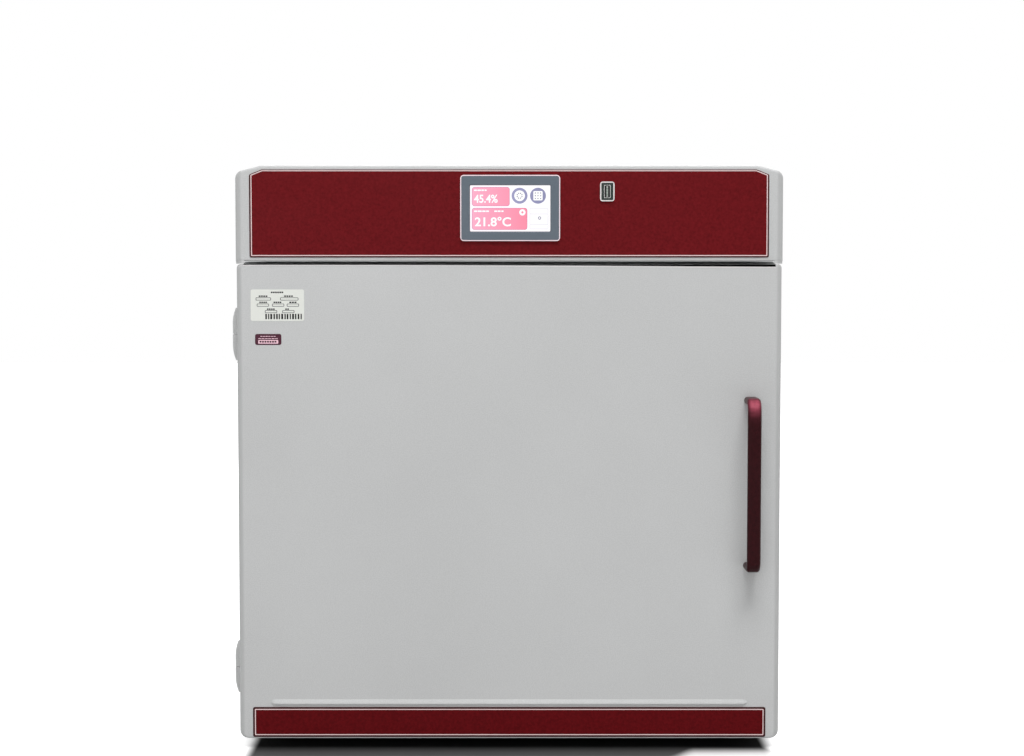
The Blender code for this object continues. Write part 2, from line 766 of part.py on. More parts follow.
def feet():
    """Four rubber feet under the cabinet's corners."""
    made = []
    profile = (
        (0.0, 0.0),
        (FOOT_RADIUS * 0.88, 0.0),
        (FOOT_RADIUS * 0.94, FOOT_HEIGHT * 0.12),
        (FOOT_RADIUS, FOOT_HEIGHT - CLEAR),
        (0.0, FOOT_HEIGHT - CLEAR),
    )
    for name, side, end in (
        ("foot_front_left", -1, 0),
        ("foot_front_right", 1, 0),
        ("foot_rear_left", -1, 1),
        ("foot_rear_right", 1, 1),
    ):
        y = CABINET_DEPTH - FOOT_INSET if end else FOOT_INSET
        centre = (side * (CABINET_WIDTH / 2 - FOOT_INSET), y)
        made.append(turned(name, profile, "Z", centre, rubber(), 16))
    return made


def hood_outline(inset):
    """The hood's section: upright sides, sloping shoulders and a flat top."""
    slope = math.atan2(SHOULDER_DROP, SHOULDER_RUN)
    side = HOOD_WIDTH / 2 - inset
    top = HOOD_BASE + HOOD_HEIGHT - inset
    shoulder = HOOD_BASE + HOOD_HEIGHT - SHOULDER_DROP - inset * math.tan((math.pi / 2 - slope) / 2)
    crown = HOOD_WIDTH / 2 - SHOULDER_RUN - inset * math.tan(slope / 2)
    foot = HOOD_BASE + inset
    corners = ((side, foot), (side, shoulder), (crown, top), (-crown, top), (-side, shoulder), (-side, foot))
    round_off = max(SHOULDER_RADIUS - inset, CORNER_BREAK)
    return rounded(corners, (HOOD_FOOT_ROUND, round_off, round_off, round_off, round_off, HOOD_FOOT_ROUND))


def panel_window(name, clearance, front, back):
    """A cutter for the touch panel's window."""
    outline = rectangle(
        SCREEN_WIDTH + 2 * clearance, SCREEN_HEIGHT + 2 * clearance, CORNER_BREAK, SCREEN_CENTRE, steps=1
    )
    return extruded(name, [outline], "Y", front, back, black_plastic())


def socket_window(name, clearance, front, back):
    """A cutter for the data socket's hole."""
    width = SOCKET_MOUTH_WIDTH + 2 * (SOCKET_WALL + clearance)
    height = SOCKET_MOUTH_HEIGHT + 2 * (SOCKET_WALL + clearance)
    outline = rectangle(width, height, CORNER_BREAK, SOCKET_CENTRE, steps=1)
    return extruded(name, [outline], "Y", front, back, black_plastic())


def control_hood():
    """Steel hood with soft front edges, open below where the tray closes it."""
    rings = [
        at_depth(narrowed(hood_outline(inset), SIDE_SOFTENING * inset), DOOR_FRONT + deep)
        for inset, deep in rounded_front(FRONT_ROUND)
    ]
    rings.append(at_depth(hood_outline(0.0), CABINET_DEPTH))
    hood = lofted("control_hood", rings, grey_paint())
    half_way = CABINET_TOP + HOOD_HEIGHT / 2
    inside = [(x, z if z > half_way else CABINET_TOP - SHEET) for x, z in hood_outline(SHEET)]
    hollow = lofted(
        "hood_hollow",
        (at_depth(inside, DOOR_FRONT + SHEET), at_depth(inside, CABINET_DEPTH - SHEET)),
        grey_paint(),
    )
    window = panel_window("hood_window", CLEAR, DOOR_FRONT - SHEET, DOOR_FRONT + 2 * SHEET)
    hole = socket_window("hood_hole", CLEAR, DOOR_FRONT - SHEET, DOOR_FRONT + 2 * SHEET)
    combine(hood, "DIFFERENCE", hollow, window, hole)
    return [combine(hood, "UNION", hood_tab("hood_tab_left", -1), hood_tab("hood_tab_right", 1))]


def hood_tab(name, side):
    """Corner of the hood's sheet that reaches down to the door's top, an angle in plan."""
    outer = HOOD_WIDTH / 2 - CLEAR
    inner = HOOD_WIDTH / 2 - SHEET + CLEAR / 2
    end = HOOD_WIDTH / 2 - TAB_WIDTH
    face, behind = DOOR_FRONT + CLEAR, DOOR_FRONT + SHEET - CLEAR / 2
    back = DOOR_BACK - CLEAR
    softening = 1 + SIDE_SOFTENING
    corners = [(outer - softening * inset, face + deep) for inset, deep in rounded_front(FRONT_ROUND - CLEAR)]
    corners += [(outer, back), (inner, back), (inner, behind), (end, behind), (end, face)]
    outline = [(side * x, y) for x, y in corners]
    return extruded(name, [outline], "Z", DOOR_TOP + TAB_GAP, HOOD_BASE + SHEET, grey_paint())


def board_posts(name, board, start, end):
    """Posts under a board's corners; board is (x, y, width, depth)."""
    x, y, width, depth = board
    inset = 2 * POST_RADIUS
    centres = [
        (x + across * (width / 2 - inset), y + along * (depth / 2 - inset))
        for across in (-1, 1)
        for along in (-1, 1)
    ]
    loops = [circle(POST_RADIUS, centre, 8) for centre in centres]
    return extruded(name, loops, "Z", start, end, galvanised())


def hood_tray():
    """Sheet that closes the hood from below and carries its boards on posts."""
    width = HOOD_WIDTH - 2 * (SHEET + CLEAR)
    front = DOOR_FRONT + SHEET + CLEAR
    back = CABINET_DEPTH - SHEET - CLEAR
    outline = rectangle(width, back - front, CORNER_BREAK, (0.0, (front + back) / 2), steps=1)
    tray = extruded("hood_tray", [outline], "Z", HOOD_BASE, HOOD_BASE + SHEET, galvanised())
    top = HOOD_BASE + SHEET + POST_HEIGHT
    low = HOOD_BASE + SHEET / 2
    return [
        combine(
            tray,
            "UNION",
            board_posts("control_posts", CONTROL_BOARD, low, top),
            board_posts("supply_posts", SUPPLY_BOX, low, top),
        )
    ]


def control_board():
    """Circuit board with its relays, transformer and capacitors."""
    x, y, width, depth = CONTROL_BOARD
    low = HOOD_BASE + SHEET + POST_HEIGHT + CLEAR
    board = extruded(
        "control_board", [rectangle(width, depth, 2 * CORNER_BREAK, (x, y), steps=1)], "Z", low, low + SHEET,
        finish("board_green", (0.03, 0.16, 0.07), 0.55),
    )
    top = low + SHEET
    seat = low + SHEET / 2
    relay_spots = [(x - width * 0.36 + number * RELAY_PITCH, y + depth * 0.30) for number in range(4)]
    relays = [rectangle(RELAY_WIDTH, RELAY_DEPTH, CORNER_BREAK, spot, steps=1) for spot in relay_spots]
    tall = extruded("board_relays", relays, "Z", seat, top + RELAY_HEIGHT, black_plastic())
    can_spots = [(x + width * 0.34, y - depth * 0.3 + number * RELAY_PITCH) for number in range(3)]
    cans = [circle(CAN_RADIUS, spot, 12) for spot in can_spots]
    round_parts = extruded("board_cans", cans, "Z", seat, top + CAN_HEIGHT, black_plastic())
    core_outline = rectangle(
        CORE_WIDTH, CORE_DEPTH, 2 * CORNER_BREAK, (x - width * 0.2, y - depth * 0.18), steps=1
    )
    core = extruded("board_transformer", [core_outline], "Z", seat, top + CORE_HEIGHT, black_plastic())
    return [combine(board, "UNION", tall, round_parts, core)]


def power_supply():
    """Closed supply box with a folded flange on each side."""
    x, y, width, depth = SUPPLY_BOX
    low = HOOD_BASE + SHEET + POST_HEIGHT + CLEAR
    half, flange = width / 2, width / 2 - SUPPLY_LEDGE
    height = SUPPLY_HEIGHT
    ledge = low + SHEET
    section = [
        (x - half, low), (x + half, low), (x + half, ledge), (x + flange, ledge),
        (x + flange, low + height), (x - flange, low + height), (x - flange, ledge), (x - half, ledge),
    ]
    return [extruded("power_supply", [section], "Y", y - depth / 2, y + depth / 2, galvanised())]


def head_film():
    """Printed film on the hood, with its upper corners cut and a window for the panel."""
    side = HEAD_FILM_WIDTH / 2
    low = HOOD_BASE + HEAD_FILM_RISE
    top = low + HEAD_FILM_HEIGHT
    corners = (
        (side, low), (side, top - HEAD_FILM_DROP), (side - HEAD_FILM_RUN, top),
        (HEAD_FILM_RUN - side, top), (-side, top - HEAD_FILM_DROP), (-side, low),
    )
    outline = rounded(corners, (FILM_CORNER,) * 6, steps=2)
    window = rectangle(
        SCREEN_WIDTH + 2 * CLEAR, SCREEN_HEIGHT + 2 * CLEAR, CORNER_BREAK, SCREEN_CENTRE, steps=1
    )
    width = SOCKET_MOUTH_WIDTH + 2 * (SOCKET_WALL + CLEAR)
    height = SOCKET_MOUTH_HEIGHT + 2 * (SOCKET_WALL + CLEAR)
    hole = rectangle(width, height, CORNER_BREAK, SOCKET_CENTRE, steps=1)
    return [extruded("head_film", [outline, window, hole], "Y", FILM_FRONT, FILM_FRONT + FILM, red_film())]


def touch_panel():
    """Bezel, glass and the display module behind the hood's front."""
    face = FILM_FRONT - CLEAR
    front = face - PANEL_RISE_FRONT
    middle = (PANEL_X, HOOD_BASE + PANEL_RISE)

    def outer(inset, y):
        width, height = PANEL_WIDTH - 2 * inset, PANEL_HEIGHT - 2 * inset
        return at_depth(rectangle(width, height, PANEL_CORNER - inset, middle), y)

    def inner(grow, y):
        width = SCREEN_WIDTH + 2 * (CLEAR + grow)
        height = SCREEN_HEIGHT + 2 * (CLEAR + grow)
        return at_depth(rectangle(width, height, CORNER_BREAK + grow, SCREEN_CENTRE), y)

    bevel = PANEL_RISE_FRONT * 0.5
    bezel = lofted(
        "touch_bezel",
        (
            outer(0.0, face), outer(0.0, front + bevel), outer(bevel * 0.8, front),
            inner(bevel * 0.6, front), inner(0.0, front + bevel), inner(0.0, face),
        ),
        finish("slate_plastic", (0.14, 0.165, 0.20), 0.45),
        closed=True,
    )
    behind = DOOR_FRONT + SHEET + CLEAR
    glass_outline = rectangle(SCREEN_WIDTH, SCREEN_HEIGHT, CORNER_BREAK, SCREEN_CENTRE, steps=2)
    glass = extruded(
        "touch_screen", [glass_outline], "Y", front + SCREEN_RECESS, behind - CLEAR,
        finish("lit_glass", (0.80, 0.78, 0.82), 0.12),
    )
    width, height = PANEL_WIDTH - 2 * DISPLAY_MARGIN, PANEL_HEIGHT - 2 * DISPLAY_MARGIN
    back = rectangle(width, height, 2 * CORNER_BREAK, middle, steps=2)
    module = extruded("display_module", [back], "Y", behind, behind + DISPLAY_DEPTH, black_plastic())
    return [bezel, glass, module]


def data_socket():
    """Bezel of the data socket, and the socket with its tongue."""
    face = FILM_FRONT - CLEAR
    outline = rectangle(SOCKET_WIDTH, SOCKET_HEIGHT, 3 * CORNER_BREAK, SOCKET_CENTRE)
    mouth_width = SOCKET_MOUTH_WIDTH + 2 * (SOCKET_WALL + CLEAR)
    mouth_height = SOCKET_MOUTH_HEIGHT + 2 * (SOCKET_WALL + CLEAR)
    mouth = rectangle(mouth_width, mouth_height, CORNER_BREAK, SOCKET_CENTRE, steps=1)
    bezel = extruded(
        "socket_bezel", [outline, mouth], "Y", face - SOCKET_FRONT, face,
        finish("light_plastic", (0.55, 0.56, 0.56), 0.45),
    )

    def shell(grow, y):
        width = SOCKET_MOUTH_WIDTH + 2 * grow
        height = SOCKET_MOUTH_HEIGHT + 2 * grow
        return at_depth(rectangle(width, height, 0.0006 + grow, SOCKET_CENTRE, steps=2), y)

    mouth_y = face - SOCKET_FRONT + SOCKET_WALL
    end = mouth_y + SOCKET_DEPTH
    can = lofted(
        "data_socket",
        (
            shell(SOCKET_WALL, end), shell(SOCKET_WALL, mouth_y), shell(0.0, mouth_y),
            shell(0.0, end - SOCKET_WALL),
        ),
        stainless(),
    )
    tongue_outline = rectangle(TONGUE_WIDTH, TONGUE_HEIGHT, 0.0003, SOCKET_CENTRE, steps=1)
    reach = (mouth_y + 2 * SOCKET_WALL, end - SOCKET_WALL / 2)
    tongue = extruded("socket_tongue", [tongue_outline], "Y", *reach, white_plastic())
    return [bezel, combine(can, "UNION", tongue)]


def door_skin():
    """Pressed door pan with soft edges, a raised bead and a return at its back."""
    rings = [
        door_ring(FRONT_ROUND, DOOR_FRONT + SHEET, SIDE_SOFTENING * FRONT_ROUND),
        door_ring(SHEET, DOOR_FRONT + FRONT_ROUND),
        door_ring(SHEET, SKIN_BACK - SHEET),
        door_ring(RETURN_WIDTH, SKIN_BACK - SHEET),
        door_ring(RETURN_WIDTH, SKIN_BACK),
        door_ring(0.0, SKIN_BACK),
    ]
    rings += [
        door_ring(inset, DOOR_FRONT + deep, SIDE_SOFTENING * inset)
        for inset, deep in reversed(rounded_front(FRONT_ROUND))
    ]
    pan = lofted("door_skin", rings, grey_paint())
    return [combine(pan, "UNION", bead())]


def bead():
    """Pressed bead across the door's foot, sloped above and steep below."""
    height = BASE + BEAD_ABOVE_EDGE
    stations = 5
    half = []
    for step in range(stations):
        turn = math.pi / 2 * step / (stations - 1)
        half.append((BEAD_LENGTH / 2 - BEAD_HEIGHT * (1 - math.cos(turn)), max(math.sin(turn), 0.05)))
    rings = []
    for x, share in [(-x, share) for x, share in half] + half[::-1]:
        top = BEAD_HEIGHT / 2 * share
        rise = BEAD_RISE * share
        base = DOOR_FRONT + SHEET / 2
        section = (
            (base, top), (DOOR_FRONT, top), (DOOR_FRONT - rise * 0.75, 0.0), (DOOR_FRONT - rise, -top * 0.6),
            (DOOR_FRONT - rise * 0.8, -top * 0.9), (DOOR_FRONT, -top), (base, -top),
        )
        rings.append([Vector((x, y, height + up)) for y, up in section])
    return lofted("door_bead", rings, grey_paint())


def door_insulation():
    """Foam block inside the door pan."""
    inset = SHEET + CLEAR
    rings = (
        door_ring(FRONT_ROUND + CLEAR, DOOR_FRONT + inset, SIDE_SOFTENING * FRONT_ROUND),
        door_ring(inset, DOOR_FRONT + FRONT_ROUND + CLEAR),
        door_ring(inset, SKIN_BACK - inset),
    )
    return [lofted("door_insulation", rings, foam())]


def door_liner():
    """Pressed inner panel with a plug that enters the chamber's mouth."""
    back = DOOR_BACK
    front = DOOR_BACK - LINER_SHEET
    rings = (
        chamber_ring(-PLUG_CLEARANCE - PLUG_TAPER - LINER_SHEET, PLUG_REACH - DOOR_GAP - LINER_SHEET),
        chamber_ring(-PLUG_CLEARANCE - LINER_SHEET, front),
        door_ring(LINER_EDGE, front),
        door_ring(LINER_EDGE, back),
        chamber_ring(-PLUG_CLEARANCE, back),
        chamber_ring(-PLUG_CLEARANCE - PLUG_TAPER, PLUG_REACH - DOOR_GAP),
    )
    return [lofted("door_liner", rings, white_plastic())]


def door_gasket():
    """Bellows seal round the door liner's edge."""
    outer = GASKET_INSET
    inner = GASKET_INSET + GASKET_WIDTH
    back, front = -CLEAR, DOOR_BACK + CLEAR
    fold = (front + back) / 2
    rings = (
        door_ring(outer + 0.001, front), door_ring(outer, front + 0.0008), door_ring(outer + 0.0022, fold),
        door_ring(outer, back - 0.0012), door_ring(outer + 0.002, back), door_ring(inner - 0.002, back),
        door_ring(inner, back - 0.0012), door_ring(inner - 0.0022, fold), door_ring(inner, front + 0.0008),
        door_ring(inner - 0.001, front),
    )
    return [lofted("door_gasket", rings, rubber(), closed=True)]


def door_handle():
    """Flat oval bar, bent square to the door at both ends."""
    top = HANDLE_MIDDLE + (HANDLE_LENGTH - HANDLE_THICKNESS) / 2
    low = HANDLE_MIDDLE - (HANDLE_LENGTH - HANDLE_THICKNESS) / 2
    seat = DOOR_FRONT - CLEAR
    line = FRONT_REACH + HANDLE_THICKNESS / 2
    corners = (
        (HANDLE_X, seat, top), (HANDLE_X, line, top), (HANDLE_X, line, low), (HANDLE_X, seat, low),
    )
    path = bent(corners, HANDLE_BEND, steps=5)
    section = rectangle(HANDLE_WIDTH, HANDLE_THICKNESS, HANDLE_THICKNESS * 0.42, steps=3)
    coat = finish("maroon_coat", (0.045, 0.008, 0.011), 0.28)
    return [swept("door_handle", path, section, (1, 0, 0), coat)]


def foot_film():
    """Printed strip along the door's foot."""
    centre = (0.0, BASE + FOOT_FILM_RISE + FOOT_FILM_HEIGHT / 2)
    outline = rectangle(FOOT_FILM_WIDTH, FOOT_FILM_HEIGHT, FILM_CORNER, centre, steps=2)
    return [extruded("foot_film", [outline], "Y", FILM_FRONT, FILM_FRONT + FILM, red_film())]


def knuckle_profile(split, way, hollow):
    """Half a hinge barrel from its split to its tip; way is 1 upwards and -1 downwards."""
    tip = HINGE_STRAIGHT + HINGE_TAPER
    outside = [
        (HINGE_RADIUS * 0.93, CLEAR), (HINGE_RADIUS, CLEAR + HINGE_RADIUS * 0.08),
        (HINGE_RADIUS, HINGE_STRAIGHT),
        (HINGE_RADIUS * 0.93, HINGE_STRAIGHT + HINGE_TAPER * 0.30),
        (HINGE_RADIUS * 0.70, HINGE_STRAIGHT + HINGE_TAPER * 0.68), (HINGE_TIP_RADIUS, tip), (0.0, tip),
    ]
    if hollow:
        bore = PIN_RADIUS + CLEAR / 2
        start = [(0.0, PIN_LENGTH + CLEAR), (bore, PIN_LENGTH + CLEAR), (bore, CLEAR)]
    else:
        start = [
            (0.0, -PIN_LENGTH), (PIN_RADIUS * 0.8, -PIN_LENGTH), (PIN_RADIUS, CORNER_BREAK - PIN_LENGTH),
            (PIN_RADIUS, CLEAR),
        ]
    return [(radius, split + way * along) for radius, along in start + outside]


def leaf(name, x, front, back, low, high, material):
    """Flat hinge leaf that runs into the barrel."""
    centre = ((front + back) / 2, (low + high) / 2)
    outline = rectangle(back - front, high - low, LEAF_CORNER, centre, steps=2)
    return extruded(name, [outline], "X", x, x + LEAF_THICKNESS, material)


def hinge(place, split):
    """A lift-off hinge: the cabinet half carries the pin, the door half sits over it."""
    axis = (HINGE_X, HINGE_Y)
    edge = HINGE_RADIUS - LEAF_SINK
    over, under = knuckle_profile(split, 1, True), knuckle_profile(split, -1, False)
    door_half = turned(f"hinge_{place}_door_half", over, "Z", axis, grey_paint(), 14)
    door_leaf = leaf(
        f"leaf_{place}_door", -DOOR_WIDTH / 2 - CLEAR - LEAF_THICKNESS, HINGE_Y - LEAF_LENGTH, HINGE_Y - edge,
        split + CORNER_BREAK, split + LEAF_HEIGHT, grey_paint(),
    )
    cabinet_half = turned(f"hinge_{place}_cabinet_half", under, "Z", axis, grey_paint(), 14)
    cabinet_leaf = leaf(
        f"leaf_{place}_cabinet", -CABINET_WIDTH / 2 - CLEAR - LEAF_THICKNESS, HINGE_Y + edge,
        HINGE_Y + LEAF_LENGTH, split - LEAF_HEIGHT, split - CORNER_BREAK, grey_paint(),
    )
    return [combine(cabinet_half, "UNION", cabinet_leaf), combine(door_half, "UNION", door_leaf)]


def rear_baffle():
    """Stainless air baffle with an eye for the fan, outlet slots and posts to the wall."""
    across = 2 * CHAMBER_HALF - 2 * CLEAR
    up = CABINET_HEIGHT - 2 * WALL - 2 * CLEAR
    loops = [rectangle(across, up, CHAMBER_CORNER - CLEAR, (0.0, CABINET_MIDDLE))]
    ring = (FAN_EYE - BAFFLE_EYE) / BAFFLE_RINGS
    for number in range(BAFFLE_RINGS):
        inner = BAFFLE_EYE + number * ring
        for quarter in range(4):
            start = 90 * quarter + BAFFLE_SPREAD
            outer = inner + ring * BAFFLE_SLOT_SHARE
            loops.append(arc_slot(inner, outer, start, start + 90 - 2 * BAFFLE_SPREAD, (0.0, FAN_HEIGHT)))
    for side in (-1, 1):
        for row in range(OUTLETS):
            height = CABINET_MIDDLE + (row - (OUTLETS - 1) / 2) * OUTLET_PITCH
            loops.append(slot(OUTLET_LENGTH, OUTLET_HEIGHT, (side * OUTLET_COLUMN, height)))
    plate = extruded("rear_baffle", loops, "Y", BAFFLE_FRONT, BAFFLE_BACK, stainless())
    centres = [
        (side * (CHAMBER_HALF - BAFFLE_POST_INSET), CABINET_MIDDLE + end * (up / 2 - BAFFLE_POST_INSET))
        for side in (-1, 1)
        for end in (-1, 1)
    ]
    posts = extruded(
        "baffle_posts",
        [circle(POST_RADIUS, centre, 10) for centre in centres],
        "Y", BAFFLE_FRONT + LINER_SHEET / 2, LINER_BACK - CLEAR, stainless(),
    )
    return [combine(plate, "UNION", posts)]


def shelf_level(number):
    """Height of a ledge's upper face."""
    return CHAMBER_FLOOR + SHELF_FIRST + number * SHELF_PITCH


def shelf_ladder(name, side):
    """Side support: a folded sheet with a ledge at each level and windows between them."""
    wall = side * (CHAMBER_HALF - CLEAR)
    face = wall - side * LADDER_SHEET
    tip = face - side * LEDGE_WIDTH
    low = CHAMBER_FLOOR + CHAMBER_CORNER + LADDER_SHEET
    high = CABINET_TOP - WALL - CHAMBER_CORNER - LADDER_SHEET
    back = BAFFLE_FRONT - SHELF_BACK_GAP / 2
    section = [(wall, low), (wall, high), (face, high)]
    for number in reversed(range(SHELF_LEVELS)):
        top = shelf_level(number)
        section += [(face, top), (tip, top), (tip, top - LADDER_SHEET), (face, top - LADDER_SHEET)]
    section.append((face, low))
    sheet = extruded(name, [section], "Y", LADDER_FRONT, back, stainless())
    windows = [
        rectangle(
            back - LADDER_FRONT - 2 * LADDER_RAIL, SHELF_PITCH - 2 * LADDER_RAIL, WINDOW_CORNER,
            ((back + LADDER_FRONT) / 2, shelf_level(number) + SHELF_PITCH / 2), steps=2,
        )
        for number in range(SHELF_LEVELS - 1)
    ]
    reach = (min(wall, face) - LADDER_SHEET, max(wall, face) + LADDER_SHEET)
    return combine(sheet, "DIFFERENCE", extruded(f"{name}_windows", windows, "X", *reach, stainless()))


def shelf_ladders():
    return [shelf_ladder("shelf_ladder_left", -1), shelf_ladder("shelf_ladder_right", 1)]


def wire_shelf(name, level):
    """Welded wire shelf: a frame, wires from front to back and one cross wire under them."""
    height = shelf_level(level) + CLEAR + FRAME_WIRE
    width = 2 * (SHELF_HALF - FRAME_WIRE)
    depth = SHELF_BACK - SHELF_FRONT - 2 * FRAME_WIRE
    middle = (SHELF_BACK + SHELF_FRONT) / 2
    rings = []
    for across, up in circle(FRAME_WIRE, sides=6):
        outline = rectangle(
            width + 2 * across, depth + 2 * across, SHELF_CORNER + across, (0.0, middle), steps=2
        )
        rings.append([Vector((x, y, height + up)) for x, y in outline])
    frame = lofted(name, rings, stainless(), closed=True)
    reach = (depth + FRAME_WIRE) / 2
    pitch = width / (GRID_WIRES + 1)
    spots = [(-width / 2 + pitch * (number + 1), height + GRID_RISE) for number in range(GRID_WIRES)]
    wires = [circle(GRID_WIRE, spot, 6) for spot in spots]
    grid = extruded(f"{name}_grid", wires, "Y", middle - reach, middle + reach, stainless())
    cross = extruded(
        f"{name}_cross", [circle(GRID_WIRE, (middle, height), 6)], "X", -width / 2, width / 2, stainless()
    )
    return combine(frame, "UNION", cross, grid)


def circulation_motor():
    """Fan motor behind the bulkhead, with a socket for the shaft."""
    bore = SHAFT_RADIUS + CLEAR
    rim = MOTOR_RADIUS + MOTOR_RIM
    profile = (
        (0.0, MOTOR_SOCKET), (bore, MOTOR_SOCKET), (bore, 0.0), (rim, 0.0), (rim, MOTOR_RIM_SHEET),
        (MOTOR_RADIUS, MOTOR_RIM_SHEET), (MOTOR_RADIUS, MOTOR_LENGTH * 0.5),
        (MOTOR_RADIUS * 0.94, MOTOR_LENGTH * 0.53), (MOTOR_RADIUS * 0.94, MOTOR_LENGTH * 0.94),
        (MOTOR_RADIUS * 0.84, MOTOR_LENGTH), (0.0, MOTOR_LENGTH),
    )
    placed_profile = [(radius, MOTOR_FRONT + along) for radius, along in profile]
    return [turned("circulation_motor", placed_profile, "Y", (0.0, FAN_HEIGHT), galvanised())]


def curved_blade(turn):
    """Outline of one backward-curved blade, in x and z about the fan's axis."""
    stations = 3
    line = []
    for step in range(stations):
        share = step / (stations - 1)
        radius = BLADE_ROOT + (BLADE_TIP - BLADE_ROOT) * share
        angle = math.radians(turn - BLADE_LEAN * share ** 0.8)
        line.append(Vector((radius * math.cos(angle), radius * math.sin(angle))))
    sides = ([], [])
    for number, point in enumerate(line):
        ahead = (line[min(number + 1, stations - 1)] - line[max(number - 1, 0)]).normalized()
        over = Vector((-ahead.y, ahead.x)) * (BLADE_SHEET / 2)
        sides[0].append(point + over)
        sides[1].append(point - over)
    return [(point.x, point.y + FAN_HEIGHT) for point in sides[0] + sides[1][::-1]]


def circulation_impeller():
    """Centrifugal wheel on its shaft: back plate, curved blades and a front ring."""
    plate = FAN_BACK - FAN_PLATE
    end = MOTOR_FRONT + MOTOR_SOCKET - 3 * CLEAR
    collar = FAN_BACK + FAN_COLLAR
    profile = (
        (0.0, plate - FAN_NOSE), (FAN_HUB * 0.6, plate - FAN_NOSE * 0.96), (FAN_HUB, plate - FAN_NOSE * 0.75),
        (FAN_HUB, plate), (FAN_RADIUS, plate), (FAN_RADIUS, FAN_BACK), (FAN_HUB * 0.8, FAN_BACK),
        (FAN_HUB * 0.8, collar), (SHAFT_RADIUS, collar), (SHAFT_RADIUS, end), (0.0, end),
    )
    centre = (0.0, FAN_HEIGHT)
    wheel = turned("circulation_impeller", profile, "Y", centre, white_plastic(), 24)
    blades = extruded(
        "impeller_blades",
        [curved_blade(360 * number / FAN_BLADES) for number in range(FAN_BLADES)],
        "Y", FAN_FRONT + FAN_PLATE / 2, FAN_BACK - FAN_PLATE / 2, white_plastic(),
    )
    ring_profile = (
        (FAN_EYE, FAN_FRONT), (FAN_RADIUS, FAN_FRONT), (FAN_RADIUS, FAN_FRONT + FAN_PLATE),
        (FAN_EYE, FAN_FRONT + FAN_PLATE),
    )
    ring = turned("impeller_ring", ring_profile, "Y", centre, white_plastic(), 24, closed=True)
    return combine(wheel, "UNION", blades, ring)


def air_heater():
    """Sheathed heating rod bent into a hairpin, with both ends at the chamber's wall."""
    wall = LINER_BACK - CLEAR
    line = LINER_BACK - PLENUM_DEPTH / 2
    low = CHAMBER_FLOOR + HEATER_RISE
    top = low + HEATER_PITCH
    corners = (
        (-HEATER_HALF, wall, top), (-HEATER_HALF, line, top), (HEATER_HALF, line, top),
        (HEATER_HALF, line, low), (-HEATER_HALF, line, low), (-HEATER_HALF, wall, low),
    )
    section = circle(HEATER_RADIUS, sides=6)
    return [swept("air_heater", bent(corners, LINE_BEND), section, (0, 0, 1), stainless())]


def finned_coil(name, width, height, depth, centre, fins):
    """Fins on a spine between two end plates, with return bends on one side."""
    x, y, z = centre
    half = COIL_FIN / 2
    pitch = (width - COIL_FIN) / (fins - 1)
    upper = []
    for number in reversed(range(fins)):
        spot = x - width / 2 + half + number * pitch
        upper += [
            (spot + half, COIL_SPINE), (spot + half, height / 2), (spot - half, height / 2),
            (spot - half, COIL_SPINE),
        ]
    upper = upper[1:-1]
    lower = [(across, -up) for across, up in reversed(upper)]
    outline = [(across, z + up) for across, up in upper + lower]
    block = extruded(name, [outline], "Y", y - depth / 2, y + depth / 2, galvanised())
    bends = []
    gap = height / (2 * COIL_BENDS + 1)
    for number in range(COIL_BENDS):
        low = z - height / 2 + gap * (2 * number + 1)
        inside, outside = x + width / 2 - half, x + width / 2 + gap * 0.6
        corners = ((inside, y, low), (outside, y, low), (outside, y, low + gap), (inside, y, low + gap))
        path = bent(corners, gap * 0.45, steps=3)
        bends.append(swept(f"{name}_bend_{number}", path, circle(COIL_TUBE, sides=8), (0, 1, 0), copper()))
    return combine(block, "UNION", *bends)


def evaporator():
    """Cold coil above the circulation fan, over its drip tray."""
    y = LINER_BACK - CLEAR - EVAPORATOR_DEPTH / 2
    z = TRAY_BASE + TRAY_HEIGHT + CLEAR + EVAPORATOR_HEIGHT / 2
    return [
        finned_coil(
            "evaporator", EVAPORATOR_WIDTH, EVAPORATOR_HEIGHT, EVAPORATOR_DEPTH, (0.0, y, z), EVAPORATOR_FINS
        )
    ]


def drip_tray():
    """Trough under the cold coil, seated against the chamber's back wall."""
    width = EVAPORATOR_WIDTH + 2 * TRAY_MARGIN
    depth = EVAPORATOR_DEPTH + TRAY_MARGIN
    middle = (0.0, LINER_BACK - CLEAR - depth / 2)

    def ring(inset, z):
        outline = rectangle(width - 2 * inset, depth - 2 * inset, TRAY_CORNER - inset, middle, steps=2)
        return [Vector((x, y, z)) for x, y in outline]

    rings = (
        ring(TRAY_SLOPE, TRAY_BASE), ring(0.0, TRAY_BASE + TRAY_HEIGHT),
        ring(LINER_SHEET, TRAY_BASE + TRAY_HEIGHT), ring(LINER_SHEET + TRAY_SLOPE, TRAY_BASE + LINER_SHEET),
    )
    return [lofted("drip_tray", rings, stainless())]


def probe(name, x, z, radius, reach, material):
    """A sensor through the baffle, with its nut seated on the baffle's face."""
    seat = BAFFLE_FRONT - CLEAR
    profile = (
        (0.0, seat - reach), (radius * 0.6, seat - reach), (radius, seat - reach + radius * 0.5),
        (radius, seat - SENSOR_NUT), (radius * 1.9, seat - SENSOR_NUT), (radius * 1.9, seat), (0.0, seat),
    )
    return turned(name, profile, "Y", (x, z), material, 12)


def sensors():
    height = FAN_HEIGHT + FAN_RADIUS + SENSOR_RISE
    return [
        probe("temperature_probe", SENSOR_X, height, PROBE_RADIUS, PROBE_REACH, stainless()),
        probe("humidity_sensor", -SENSOR_X, height, SENSOR_RADIUS, SENSOR_REACH, black_plastic()),
    ]


